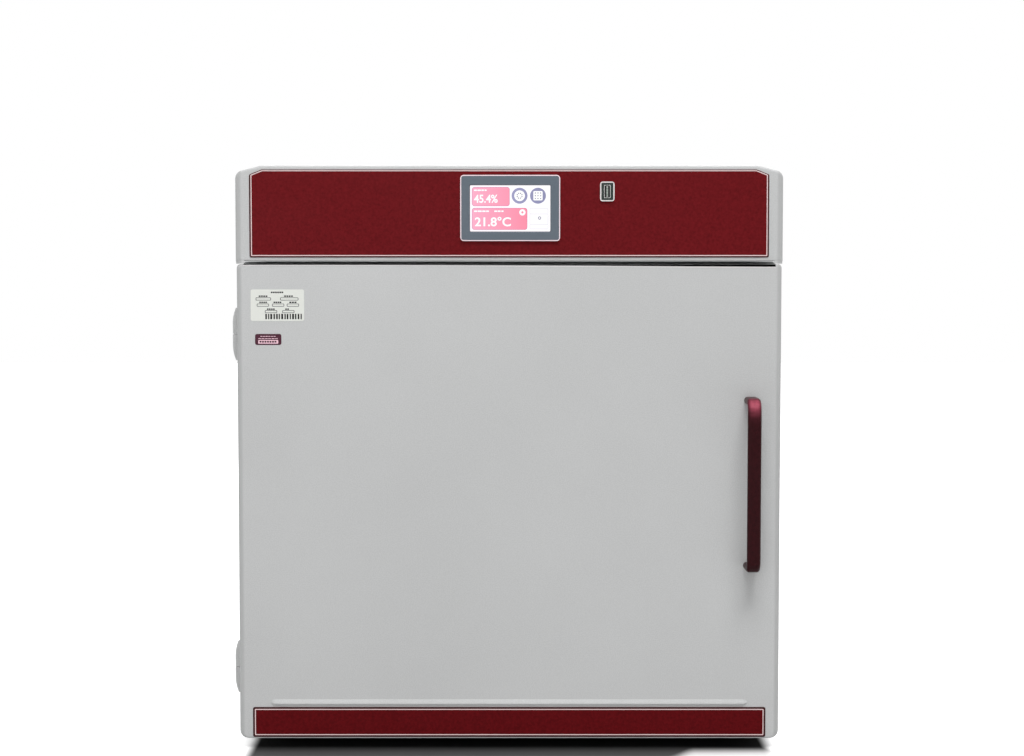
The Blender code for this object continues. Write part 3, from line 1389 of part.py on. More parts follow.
def compressor():
    """Hermetic compressor with its welded seam, on a pressed carrier."""
    shell = (
        (0.0, 0.0), (0.55, 0.0), (0.80, 0.035), (0.93, 0.11), (0.97, 0.20), (0.97, 0.47), (1.0, 0.48),
        (1.0, 0.53), (0.97, 0.54), (0.97, 0.78), (0.90, 0.89), (0.74, 0.965), (0.45, 0.995), (0.0, 1.0),
    )
    profile = [(COMPRESSOR_RADIUS * r, COMPRESSOR_BASE + COMPRESSOR_HEIGHT * h) for r, h in shell]
    dome = turned("compressor", profile, "Z", (COMPRESSOR_X, COMPRESSOR_Y), black_plastic())
    half = COMPRESSOR_RADIUS + CARRIER_MARGIN
    flange = CARRIER_FLANGE
    top = BAY_FLOOR + COMPRESSOR_SEAT
    low = BAY_FLOOR
    slope = CARRIER_SLOPE
    section = [
        (-half, low), (flange - half, low), (flange + slope - half, top - CARRIER_SHEET),
        (half - flange - slope, top - CARRIER_SHEET), (half - flange, low), (half, low),
        (half, low + CARRIER_SHEET), (half - flange + CARRIER_SHEET, low + CARRIER_SHEET),
        (half - flange - slope + CARRIER_SHEET, top), (flange + slope - CARRIER_SHEET - half, top),
        (flange - CARRIER_SHEET - half, low + CARRIER_SHEET), (-half, low + CARRIER_SHEET),
    ]
    section = [(COMPRESSOR_X + x, z) for x, z in section]
    reach = COMPRESSOR_RADIUS * 0.95
    carrier = extruded(
        "compressor_carrier", [section], "Y", COMPRESSOR_Y - reach, COMPRESSOR_Y + reach, galvanised()
    )
    return [dome, carrier]


def condenser():
    """Warm coil that stands on the bay's floor in front of its fan."""
    centre = (CONDENSER_X, CONDENSER_Y, BAY_FLOOR + CONDENSER_HEIGHT / 2)
    size = (CONDENSER_WIDTH, CONDENSER_HEIGHT, CONDENSER_DEPTH)
    return [finned_coil("condenser", *size, centre, CONDENSER_FINS)]


def refrigerant_lines():
    """Copper lines between the compressor, the warm coil and the bulkhead, with the drier."""
    shell = COMPRESSOR_RADIUS * 0.97 + CLEAR
    plate = CONDENSER_X - CONDENSER_WIDTH / 2 - CLEAR
    bulkhead = BULKHEAD_BACK + CLEAR
    port = COMPRESSOR_BASE + COMPRESSOR_HEIGHT * 0.68
    coil_top = BAY_FLOOR + CONDENSER_HEIGHT
    y = COMPRESSOR_Y
    turn_x = (COMPRESSOR_X + shell + plate) / 2
    tube = circle(LINE_RADIUS, sides=6)
    entry = coil_top - DISCHARGE_DROP
    discharge = ((COMPRESSOR_X + shell, y, port), (turn_x, y, port), (turn_x, y, entry), (plate, y, entry))
    suction_x = COMPRESSOR_X - shell - SUCTION_OUT
    suction = (
        (COMPRESSOR_X - shell, y, port), (suction_x, y, port), (suction_x, y, LINES_TOP),
        (suction_x, bulkhead, LINES_TOP),
    )
    drier_y = CONDENSER_Y - CONDENSER_DEPTH / 4
    drier_z = coil_top - DRIER_DROP
    capillary_x = -(MOTOR_RADIUS + MOTOR_RIM + CAPILLARY_PAST_MOTOR)
    drier_end = capillary_x + CAPILLARY_OUT
    drier_length = plate - drier_end
    spindle = (
        (0.0, 0.0), (0.4, 0.0), (0.4, 0.10), (1.0, 0.24), (1.0, 0.76), (0.4, 0.90), (0.4, 1.0), (0.0, 1.0),
    )
    profile = [(DRIER_RADIUS * r, drier_end + drier_length * along) for r, along in spindle]
    capillary = (
        (drier_end - CLEAR, drier_y, drier_z), (capillary_x, drier_y, drier_z),
        (capillary_x, drier_y, LINES_TOP), (capillary_x, bulkhead, LINES_TOP),
    )
    thin = circle(CAPILLARY_RADIUS, sides=6)
    return [
        swept("discharge_line", bent(discharge, LINE_BEND), tube, (0, 1, 0), copper()),
        swept("suction_line", bent(suction, LINE_BEND), tube, (0, 0, 1), copper()),
        turned("filter_drier", profile, "X", (drier_y, drier_z), copper(), 12),
        swept("capillary_tube", bent(capillary, LINE_BEND * 0.7, steps=3), thin, (0, 1, 0), copper()),
    ]


def condenser_fan_frame():
    """Square fan frame with a round bore, a spider and the rotor's pin."""
    centre = (CONDENSER_X, BOX_FAN_HEIGHT)
    back = BOX_FAN_FRONT + BOX_FAN_DEPTH
    square = rectangle(BOX_FAN_SIZE, BOX_FAN_SIZE, BOX_FAN_CORNER, centre, steps=3)
    frame = extruded(
        "condenser_fan_frame", [square, circle(BOX_FAN_BORE, centre, 32)], "Y",
        BOX_FAN_FRONT + SPIDER_SHEET / 2, back, black_plastic(),
    )
    inset = BOX_FAN_SIZE - 2 * CLEAR
    loops = [rectangle(inset, inset, BOX_FAN_CORNER, centre, steps=3)]
    for quarter in range(4):
        start = 45 + 90 * quarter + SPIDER_ARM / 2
        end = start + 90 - SPIDER_ARM
        loops.append(arc_slot(BOX_FAN_HUB + BOX_FAN_GAP, BOX_FAN_BORE - BOX_FAN_GAP, start, end, centre))
    spider = extruded("fan_spider", loops, "Y", BOX_FAN_FRONT, BOX_FAN_FRONT + SPIDER_SHEET, black_plastic())
    pin = extruded(
        "fan_pin", [circle(BOX_FAN_PIN, centre, 12)], "Y",
        BOX_FAN_FRONT + SPIDER_SHEET / 2, back - 2 * SPIDER_SHEET, black_plastic(),
    )
    return [combine(frame, "UNION", spider, pin)]


def twisted_blade(name, turn):
    """One axial blade, whose pitch falls from root to tip."""
    centre_y = BOX_FAN_FRONT + SPIDER_SHEET + BOX_FAN_GAP + BOX_FAN_BLADE_DEPTH / 2
    stations = 4
    rings = []
    for step in range(stations):
        share = step / (stations - 1)
        tip = BOX_FAN_BORE - BOX_FAN_GAP
        radius = BOX_FAN_HUB * 0.9 + (tip - BOX_FAN_HUB * 0.9) * share
        pitch = math.radians(ROOT_PITCH + (TIP_PITCH - ROOT_PITCH) * share)
        chord = BOX_FAN_BLADE_DEPTH * 0.8 / math.sin(pitch)
        section = (
            (-0.5, 0.0, -1), (0.0, BLADE_CAMBER, -1), (0.5, 0.0, -1),
            (0.5, 0.0, 1), (0.0, BLADE_CAMBER, 1), (-0.5, 0.0, 1),
        )
        angle = math.radians(turn)
        ring = []
        for along, camber, face in section:
            forward = along * chord
            lift = camber * chord + face * BLADE_SHEET / 2
            around = forward * math.cos(pitch) - lift * math.sin(pitch)
            axial = forward * math.sin(pitch) + lift * math.cos(pitch)
            x = radius * math.cos(angle) - around * math.sin(angle)
            z = radius * math.sin(angle) + around * math.cos(angle)
            ring.append(Vector((CONDENSER_X + x, centre_y + axial, BOX_FAN_HEIGHT + z)))
        rings.append(ring)
    return lofted(name, rings, black_plastic())


def condenser_fan_rotor():
    """Axial rotor: a hub with a blind bore on the pin, and twisted blades."""
    front = BOX_FAN_FRONT + SPIDER_SHEET + CLEAR
    back = BOX_FAN_FRONT + BOX_FAN_DEPTH - SPIDER_SHEET
    bore = BOX_FAN_PIN + CLEAR
    depth = BOX_FAN_FRONT + BOX_FAN_DEPTH - 2 * SPIDER_SHEET + CLEAR
    profile = (
        (0.0, depth), (bore, depth), (bore, front), (BOX_FAN_HUB, front), (BOX_FAN_HUB, back - CORNER_BREAK),
        (BOX_FAN_HUB - CORNER_BREAK, back), (0.0, back),
    )
    centre = (CONDENSER_X, BOX_FAN_HEIGHT)
    hub = turned("condenser_fan_rotor", profile, "Y", centre, black_plastic(), 24)
    step = 360 / BOX_FAN_BLADES
    blades = [twisted_blade(f"rotor_blade_{number}", step * number) for number in range(BOX_FAN_BLADES)]
    return combine(hub, "UNION", *blades)


def mains_inlet():
    """Snap-in inlet with three blades in its cavity and a window for the rocker."""
    centre = (INLET_X, INLET_Z)
    seat = REAR_BACK + CLEAR

    face_width = INLET_FLANGE_WIDTH - 2 * CORNER_BREAK
    face_height = INLET_FLANGE_HEIGHT - 2 * CORNER_BREAK

    def ring(width, height, radius, y):
        return at_depth(rectangle(width, height, radius, centre, steps=2), y)

    rings = (
        ring(INLET_BODY_WIDTH, INLET_BODY_HEIGHT, CORNER_BREAK, REAR_BACK - INLET_BODY_DEPTH),
        ring(INLET_BODY_WIDTH, INLET_BODY_HEIGHT, CORNER_BREAK, seat),
        ring(INLET_FLANGE_WIDTH, INLET_FLANGE_HEIGHT, 3 * CORNER_BREAK, seat),
        ring(INLET_FLANGE_WIDTH, INLET_FLANGE_HEIGHT, 3 * CORNER_BREAK, BACK_REACH - CORNER_BREAK),
        ring(face_width, face_height, 2 * CORNER_BREAK, BACK_REACH),
    )
    body = lofted("mains_inlet", rings, black_plastic())
    low = INLET_Z - CAVITY_DROP
    cavity = rectangle(
        2 * CAVITY_HALF_WIDTH, 2 * CAVITY_HALF_HEIGHT, CORNER_BREAK, (INLET_X, low), CAVITY_CORNER, steps=2
    )
    outside = BACK_REACH + INLET_FLANGE
    cavity_cut = extruded("inlet_cavity", [cavity], "Y", BACK_REACH - CAVITY_DEPTH, outside, black_plastic())
    window = rectangle(
        ROCKER_WIDTH + 2 * CLEAR, ROCKER_LENGTH + 2 * WINDOW_PLAY, CLEAR, (INLET_X, PIVOT_Z), steps=1
    )
    window_cut = extruded("rocker_window", [window], "Y", BACK_REACH - WINDOW_DEPTH, outside, black_plastic())
    places = ((-1, -1), (0, 3), (1, -1))
    spots = [(INLET_X + side * BLADE_SPREAD, low + up * CORNER_BREAK) for side, up in places]
    blades = [rectangle(BLADE_ACROSS, BLADE_UP, CLEAR, spot, steps=1) for spot in spots]
    pins = extruded(
        "inlet_blades", blades, "Y", BACK_REACH - CAVITY_DEPTH - SHEET, BACK_REACH - BLADE_SINK, stainless()
    )
    combine(body, "DIFFERENCE", cavity_cut, window_cut)
    return [combine(body, "UNION", pins)]


def power_rocker():
    """Rocker of the mains switch, tipped to its upper rest."""
    half = ROCKER_LENGTH / 2
    section = [
        (-0.004, -half * 0.90), (0.0035, -half * 0.96), (0.0028, 0.0), (0.0035, half * 0.96),
        (-0.004, half * 0.90), (-0.0072, 0.0),
    ]
    rocker = extruded("power_rocker", [section], "X", -ROCKER_WIDTH / 2, ROCKER_WIDTH / 2, black_plastic())
    rocker.rotation_euler.x = math.radians(ROCKER_TILT)
    return rocker


def door_switch():
    """Switch body behind the collar, with a bore for its plunger."""
    front = COLLAR_DEPTH + CLEAR
    outline = rectangle(SWITCH_WIDTH, SWITCH_HEIGHT, CORNER_BREAK, (PLUNGER_X, PLUNGER_Z), steps=1)
    bore = circle(PLUNGER_RADIUS + CLEAR, (PLUNGER_X, PLUNGER_Z), 16)
    return [extruded("door_switch", [outline, bore], "Y", front, front + SWITCH_DEPTH, black_plastic())]


def door_plunger():
    """Plunger that the closed door holds in."""
    tip = DOOR_BACK + CLEAR
    end = COLLAR_DEPTH + SWITCH_DEPTH * 0.7
    profile = (
        (0.0, tip), (PLUNGER_RADIUS * 0.6, tip), (PLUNGER_RADIUS, tip + CORNER_BREAK), (PLUNGER_RADIUS, end),
        (0.0, end),
    )
    return turned("door_plunger", profile, "Y", (PLUNGER_X, PLUNGER_Z), white_plastic(), 16)


def pivot(name, place, items, parent):
    """An empty on a joint's axis that carries its pieces."""
    empty = bpy.data.objects.new(name, None)
    bpy.context.scene.collection.objects.link(empty)
    empty.location = place
    empty.parent = parent
    for item in items:
        item.parent = empty
        item.matrix_parent_inverse = Matrix.Translation(-Vector(place))
    return empty


def main():
    for item in list(bpy.data.objects):
        bpy.data.objects.remove(item)
    assembly = bpy.data.objects.new("assembly", None)
    bpy.context.scene.collection.objects.link(assembly)
    assembly.location = (-(LEFT_REACH + RIGHT_REACH) / 2, -(FRONT_REACH + BACK_REACH) / 2, 0.0)

    for make in FIXED_PARTS:
        make()
    door_pieces = [piece for make in DOOR_PARTS for piece in make()]
    for place, split in (("upper", HINGE_UPPER), ("lower", HINGE_LOWER)):
        door_pieces.append(hinge(place, split)[1])
    pivot("door_axis", (HINGE_X, HINGE_Y, 0.0), door_pieces, assembly)
    for name, place in zip(SHELF_NAMES, SHELF_PLACES):
        pivot(f"{name}_slide", (0.0, SHELF_FRONT, shelf_level(place)), [wire_shelf(name, place)], assembly)
    pivot("impeller_axis", (0.0, FAN_BACK, FAN_HEIGHT), [circulation_impeller()], assembly)
    pivot("rotor_axis", (CONDENSER_X, BOX_FAN_FRONT, BOX_FAN_HEIGHT), [condenser_fan_rotor()], assembly)
    pivot("plunger_slide", (PLUNGER_X, DOOR_BACK, PLUNGER_Z), [door_plunger()], assembly)
    rocker = power_rocker()
    rocker.location = (INLET_X, PIVOT_Y, PIVOT_Z)

    for item in bpy.context.scene.objects:
        if item.parent is None and item is not assembly:
            item.parent = assembly


FIXED_PARTS = (
    outer_cabinet, front_collar, inner_chamber, cabinet_insulation, machine_bulkhead, rear_panel, fan_guard,
    feet, control_hood, hood_tray, control_board, power_supply, head_film, touch_panel, data_socket,
    rear_baffle, shelf_ladders, circulation_motor, air_heater, evaporator, drip_tray, sensors,
    compressor, condenser, refrigerant_lines, condenser_fan_frame, mains_inlet, door_switch,
)
DOOR_PARTS = (door_skin, door_insulation, door_liner, door_gasket, door_handle, foot_film)

main()
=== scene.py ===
import json
import math

import bmesh
import bpy
from mathutils import Euler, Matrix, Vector


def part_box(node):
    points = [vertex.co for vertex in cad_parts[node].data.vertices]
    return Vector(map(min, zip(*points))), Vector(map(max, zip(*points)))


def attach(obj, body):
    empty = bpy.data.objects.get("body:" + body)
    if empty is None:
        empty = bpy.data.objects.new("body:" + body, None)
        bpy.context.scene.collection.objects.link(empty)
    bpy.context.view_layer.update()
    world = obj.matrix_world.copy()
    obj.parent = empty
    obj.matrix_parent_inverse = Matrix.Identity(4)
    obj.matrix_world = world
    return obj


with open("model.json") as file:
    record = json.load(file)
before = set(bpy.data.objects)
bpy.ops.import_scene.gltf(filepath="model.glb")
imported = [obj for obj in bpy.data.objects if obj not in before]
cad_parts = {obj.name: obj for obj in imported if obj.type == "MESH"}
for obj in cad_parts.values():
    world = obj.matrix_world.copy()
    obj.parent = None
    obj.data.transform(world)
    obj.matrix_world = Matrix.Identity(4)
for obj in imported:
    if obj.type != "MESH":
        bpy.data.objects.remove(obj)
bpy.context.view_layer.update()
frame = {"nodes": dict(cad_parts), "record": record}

# Bodies that the pieces ride on
CABINET, DOOR = "cabinet", "door"

# Boxes of the CAD nodes that the pieces are placed from
BODY_LOW, BODY_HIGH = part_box("outer_cabinet")
HOOD_LOW, HOOD_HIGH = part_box("control_hood")
HEAD_LOW, HEAD_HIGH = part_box("head_film")
FOOT_LOW, FOOT_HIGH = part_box("foot_film")
DOOR_LOW, DOOR_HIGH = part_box("door_skin")
BAR_LOW, BAR_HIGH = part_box("door_handle")
BEZEL_LOW, BEZEL_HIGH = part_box("touch_bezel")
GLASS_LOW, GLASS_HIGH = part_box("touch_screen")
SOCKET_LOW, SOCKET_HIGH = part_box("socket_bezel")
REAR_LOW, REAR_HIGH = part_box("rear_panel")
GUARD_LOW, GUARD_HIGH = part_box("fan_guard")
MIDDLE_X = (BODY_LOW[0] + BODY_HIGH[0]) / 2
HALF_WIDTH = (BODY_HIGH[0] - BODY_LOW[0]) / 2
FRONT = HOOD_LOW[1]

# Thickness of one printed layer
PRINT = 0.00006

# Film prints: the head film's cut corners, the dark edge, and the pinstripe inside it
HEAD_CUT_RUN, HEAD_CUT_DROP = 0.015, 0.006
HEAD_PRINT_RISE = 0.0009
HEAD_EDGE, FOOT_EDGE = 0.0014, 0.0019
EDGE_MARGIN = 0.0001
EDGE_OUTER_RADIUS, EDGE_INNER_RADIUS = 0.0019, 0.0012
STRIPE_START, STRIPE_END = 0.0004, 0.0015
STRIPE_OUTER_RADIUS, STRIPE_INNER_RADIUS = 0.0010, 0.0006

# Door's upper lip, paler than the door as a painted highlight on its top edge: shares of its width with its
# drop there, and its section
LIP_DROP = (
    (0.00, 0.00060), (0.18, 0.00066), (0.32, 0.00078), (0.46, 0.00107), (0.55, 0.00131),
    (0.64, 0.00149), (0.73, 0.00185), (0.82, 0.00227), (0.91, 0.00257), (1.00, 0.00286),
)
LIP_LINE = 0.0014
LIP_FROM_SIDE = 0.0075
LIP_DEPTH, LIP_PROUD = 0.0020, 0.0001
# Black sheet above the lip, painted shade in the gap under the hood: its depth, and its drop from the door's
# top
GAP_SHADE_DEPTH, GAP_SHADE_FROM_TOP = 0.0023, 0.0001

# Pale line round the touch bezel
BEZEL_LINE_OUT, BEZEL_LINE_IN = 0.0003, 0.0009
BEZEL_OUTER_RADIUS, BEZEL_INNER_RADIUS = 0.0042, 0.0030
BEZEL_LINE_SET_BACK = 0.0002

# What the screen shows, on a grid that counts from its left and top; sizes below 0.1 are in metres
SCREEN_GRID = 79.9
SCREEN_UNIT = (GLASS_HIGH[0] - GLASS_LOW[0]) / SCREEN_GRID
# Each field: name, left, right, top and foot
READING_FIELDS = (("reading_upper", 1.9, 39.4, 1.7, 20.6), ("reading_lower", 1.9, 57.0, 22.4, 44.1))
READING_RADIUS, READING_RIM = 0.0030, 0.0005
READING_INNER_RADIUS = 0.0026
# Each number: name, text, size, left, foot and width; the weight is a share of the size
LETTER_WEIGHT = 0.022
READING_NUMBERS = (
    ("reading_upper_number", "45.4%", 0.0132, 3.9, 17.4, 23.6),
    ("reading_lower_number", "21.8°C", 0.0145, 4.7, 40.7, 36.0),
)
# Each short bar over a reading: left, width and foot
UPPER_CAPTION, LOWER_CAPTION = 5.6, 26.4
CAPTION_BARS = (
    (3.9, 3.0, UPPER_CAPTION), (7.3, 3.6, UPPER_CAPTION), (11.3, 2.6, UPPER_CAPTION),
    (14.4, 2.2, UPPER_CAPTION), (3.9, 3.2, LOWER_CAPTION), (7.5, 4.2, LOWER_CAPTION),
    (12.1, 3.4, LOWER_CAPTION), (15.9, 3.0, LOWER_CAPTION), (24.0, 3.0, LOWER_CAPTION),
    (27.4, 3.0, LOWER_CAPTION), (31.0, 2.4, LOWER_CAPTION),
)
CAPTION_HEIGHT, CAPTION_RADIUS = 1.5, 0.0005
# Badge, keys and table, with their marks
BADGE_X, BADGE_Z = 52.1, 26.8
BADGE_RADIUS, BADGE_HOLE = 3.1, 1.15
KEY_LEVEL, KEY_RADIUS = 10.3, 7.9
SETTINGS_X, MENU_X = 49.3, 67.6
SETTINGS_DISC, SETTINGS_TEETH, SETTINGS_CIRCLE = 5.3, 8, 2.55
MARK_DOT = 0.62
MENU_SQUARE, MENU_PITCH, MENU_RADIUS = 9.2, 2.7, 0.0012
TABLE_SIDES = (59.6, 77.6)
TABLE_LEVELS = (23.2, 28.4, 38.6, 43.2)
TABLE_HALF_LINE, TABLE_RADIUS = 0.00022, 0.0001
TABLE_MARK_X, TABLE_MARK_Z = 69.2, 32.4
TABLE_MARK_RADIUS, TABLE_MARK_HOLE = 1.6, 0.9

# Data socket: parts as width, height and radius, then places from its middle and depths behind its face
SOCKET_RIM, SOCKET_FIELD_RADIUS = 0.0014, 0.0012
MOUTH = (0.0076, 0.0154, 0.0008)
RECESS = (0.0066, 0.0144, 0.0005)
TONGUE_SLOT = (0.0022, 0.0120, 0.0003)
SPRING = (0.0018, 0.0014, 0.0003)
TONGUE_BAR = (0.0020, 0.0032, 0.0002)
SPRING_RISE, SPRING_FROM_MIDDLE = 0.0059, 0.0023
TONGUE_PITCH = 0.0036
RECESS_BACK, RECESS_FRONT = 0.0034, 0.0026
SPRING_FRONT = 0.0014
TONGUE_BACK, TONGUE_FRONT = 0.0024, 0.0016

# Rating label: its middle across from the body's middle, its middle's height, then width and height
RATING_LABEL = (-0.27655, 0.5352, 0.0637, 0.0375)
RATING_RADIUS = 0.0022
# Its marks, on a grid that counts from its upper left
RATING_GRID = (52.5, 31.5)
# Each row of marks: left, top and width
MARK_ROWS = (
    (20.0, 2.2, 12.5), (8.0, 6.0, 9.0), (33.0, 6.0, 9.0), (8.5, 12.2, 8.0),
    (22.5, 12.2, 8.0), (38.0, 12.2, 7.5), (16.0, 19.0, 8.0), (34.0, 19.0, 4.0),
)
MARK_PITCH, MARK_GAP, MARK_HEIGHT, MARK_RADIUS = 2.0, 0.42, 1.45, 0.00015
# Each boxed field: left, right, top and foot
FIELD_BOXES = (
    (5.0, 20.0, 8.0, 11.0), (29.0, 47.0, 8.0, 11.0), (6.0, 18.0, 14.2, 17.2), (21.0, 33.0, 14.2, 17.2),
    (35.5, 47.5, 14.2, 17.2), (14.0, 26.0, 20.8, 23.6), (31.0, 43.0, 20.8, 23.6),
)
FIELD_LINE_ACROSS, FIELD_LINE_DOWN = 0.62, 0.55
FIELD_OUTER_RADIUS, FIELD_INNER_RADIUS = 0.0007, 0.0004
BAR_START, BAR_COUNT, BAR_RADIUS = 14.3, 14, 0.00004
BAR_WIDTHS, BAR_GAPS = (1.6, 1.2, 1.9, 1.4), (1.2, 0.9, 1.3)
BAR_TOP, BAR_FOOT = 24.4, 29.8

# Small label, given in the same way
SMALL_LABEL = (-0.2877, 0.4943, 0.0315, 0.0132)
SMALL_RADIUS = 0.0024
# Its field's left, right, foot and top, and each row's left, right and level, as shares of its size
SMALL_FIELD, SMALL_FIELD_RADIUS = (0.12, 0.88, 0.12, 0.46), 0.0008
SMALL_ROWS = ((0.20, 0.80, 0.78), (0.12, 0.88, 0.58))
SMALL_BARS, SMALL_BAR_GAP, SMALL_HALF_LINE, SMALL_MARK_RADIUS = 6, 0.0006, 0.00035, 0.0001
SMALL_MARKS, SMALL_MARK_START, SMALL_MARK_PITCH, SMALL_MARK_WIDTH = 7, 0.17, 0.095, 0.07
SMALL_MARK_FOOT, SMALL_MARK_TOP = 0.22, 0.37

# Screws: the head's outline, as shares of its radius and height
SCREW_SIDES = 20
SCREW_PROFILE = ((1.0, 0.0), (1.0, 0.35), (0.92, 0.70), (0.66, 0.93), (0.40, 1.0))
# Each ring of the head's cross recess, on an arm and between arms
SCREW_RECESS = (((0.36, 0.96), (0.13, 0.97)), ((0.30, 0.35), (0.09, 0.35)))
SCREW_ARM = 0.80
# Radii, heights and places of the screws
REAR_SCREW, FAN_SCREW, HOOD_SCREW, HINGE_SCREW = 0.0034, 0.0030, 0.0032, 0.0028
HEAD_HEIGHT, HINGE_HEAD_HEIGHT = 0.0012, 0.0010
REAR_SCREW_MARGIN, HOOD_SCREW_RISE = 0.008, 0.012
REAR_ROW_SHARES, REAR_SIDE_SHARES = (0.04, 0.35, 0.65, 0.96), (0.30, 0.70)
HOOD_SCREW_SHARES = (0.05, 0.35, 0.65, 0.95)
FAN_SCREW_FROM_MIDDLE = 0.0525
HINGE_AXIS_FROM_END, HINGE_SCREW_REACHES = 0.034, (0.014, 0.026)
HINGE_SCREW_FROM_SPLIT, HINGE_LEAF = 0.0125, 0.0025

# Painted highlight on the handle's upper bend: its height, and where it fades across and behind the bar
SHEEN_HEIGHT = 0.030
SHEEN_STOPS = (
    (0.20, 0.05), (0.30, 0.12), (0.37, 0.24), (0.45, 0.32),
    (0.53, 0.46), (0.62, 0.68), (0.72, 0.95), (0.80, 1.0),
)
SHEEN_AT_TOP = 0.30
SHEEN_SIDE, SHEEN_SIDE_SHARE = (0.0035, 0.0078), 0.25
SHEEN_BEHIND, SHEEN_BEHIND_SHARE = (0.008, 0.020), 0.15

# Painted shade on the front's side edges: its band in from the sides, how far back it goes, and its shade
EDGE_BAND, EDGE_BACK, EDGE_SHADE = (0.0072, 0.0036), (0.0016, 0.0030), 0.83

# Floor: the painted shadow under and before the body, shorter at the right, and the fade to white
FLOOR_REACH = 9.0
SHADE_SIDE = (-0.021, -0.003)
SHADE_FRONT = (0.034, 0.078)
SHADE_CORE = (-0.016, 0.034)
SHADE_BEHIND, SHADE_BEHIND_RUN = 0.030, 0.1
SHADE_RIGHT, SHADE_RIGHT_SHORTER = (0.185, 0.225), 0.041
WHITE_OUT, FLOOR_LIFT = (0.8, 3.0), 0.62

# Light: the world's strength, from low to high over its span
AMBIENT_LOW, AMBIENT_HIGH, AMBIENT_SPAN = 0.16, 0.50, (-0.2, 0.9)
# Each lamp: name, place, target, width, height and watts
FRONT_TARGET, MIDDLE_TARGET, REAR_TARGET = (0.0, -0.28, 0.35), (0.0, 0.1, 0.35), (0.0, 0.2, 0.35)
LAMPS = (
    ("high_softbox", (0.35, -2.2, 3.9), FRONT_TARGET, 1.9, 1.6, 121.0),
    ("front_softbox", (-0.6, -3.4, 1.0), FRONT_TARGET, 1.6, 1.2, 14.0),
    ("left_softbox", (-2.6, 0.3, 1.3), MIDDLE_TARGET, 1.6, 1.6, 12.0),
    ("right_softbox", (2.6, 0.3, 1.3), MIDDLE_TARGET, 1.6, 1.6, 12.0),
    ("rear_softbox", (0.4, 3.0, 2.2), REAR_TARGET, 2.0, 1.6, 46.0),
)

# Camera: place, pitch below level in degrees, and lens
CAMERA_PLACE, CAMERA_PITCH = (0.0092, -2.642, 0.5841), 3.3
SENSOR, LENS = 36.0, 69.43


def srgb(red, green, blue):
    """A colour given as it looks on the screen, from 0 to 255, as linear light."""
    out = []
    for value in (red, green, blue):
        share = value / 255
        out.append(share / 12.92 if share <= 0.04045 else ((share + 0.055) / 1.055) ** 2.4)
    return tuple(out)


def shaded(colour, factor):
    """A colour made darker or paler by a factor."""
    return tuple(min(max(part * factor, 0.0), 1.0) for part in colour)


# Shared colours, and the range that a grey pattern mostly keeps to
BLACK, WHITE = (0.0, 0.0, 0.0), (1.0, 1.0, 1.0)
GREY = srgb(196, 197, 197)
STEEL = (0.60, 0.60, 0.585)
PATTERN_LOW, PATTERN_HIGH = 0.3, 0.7


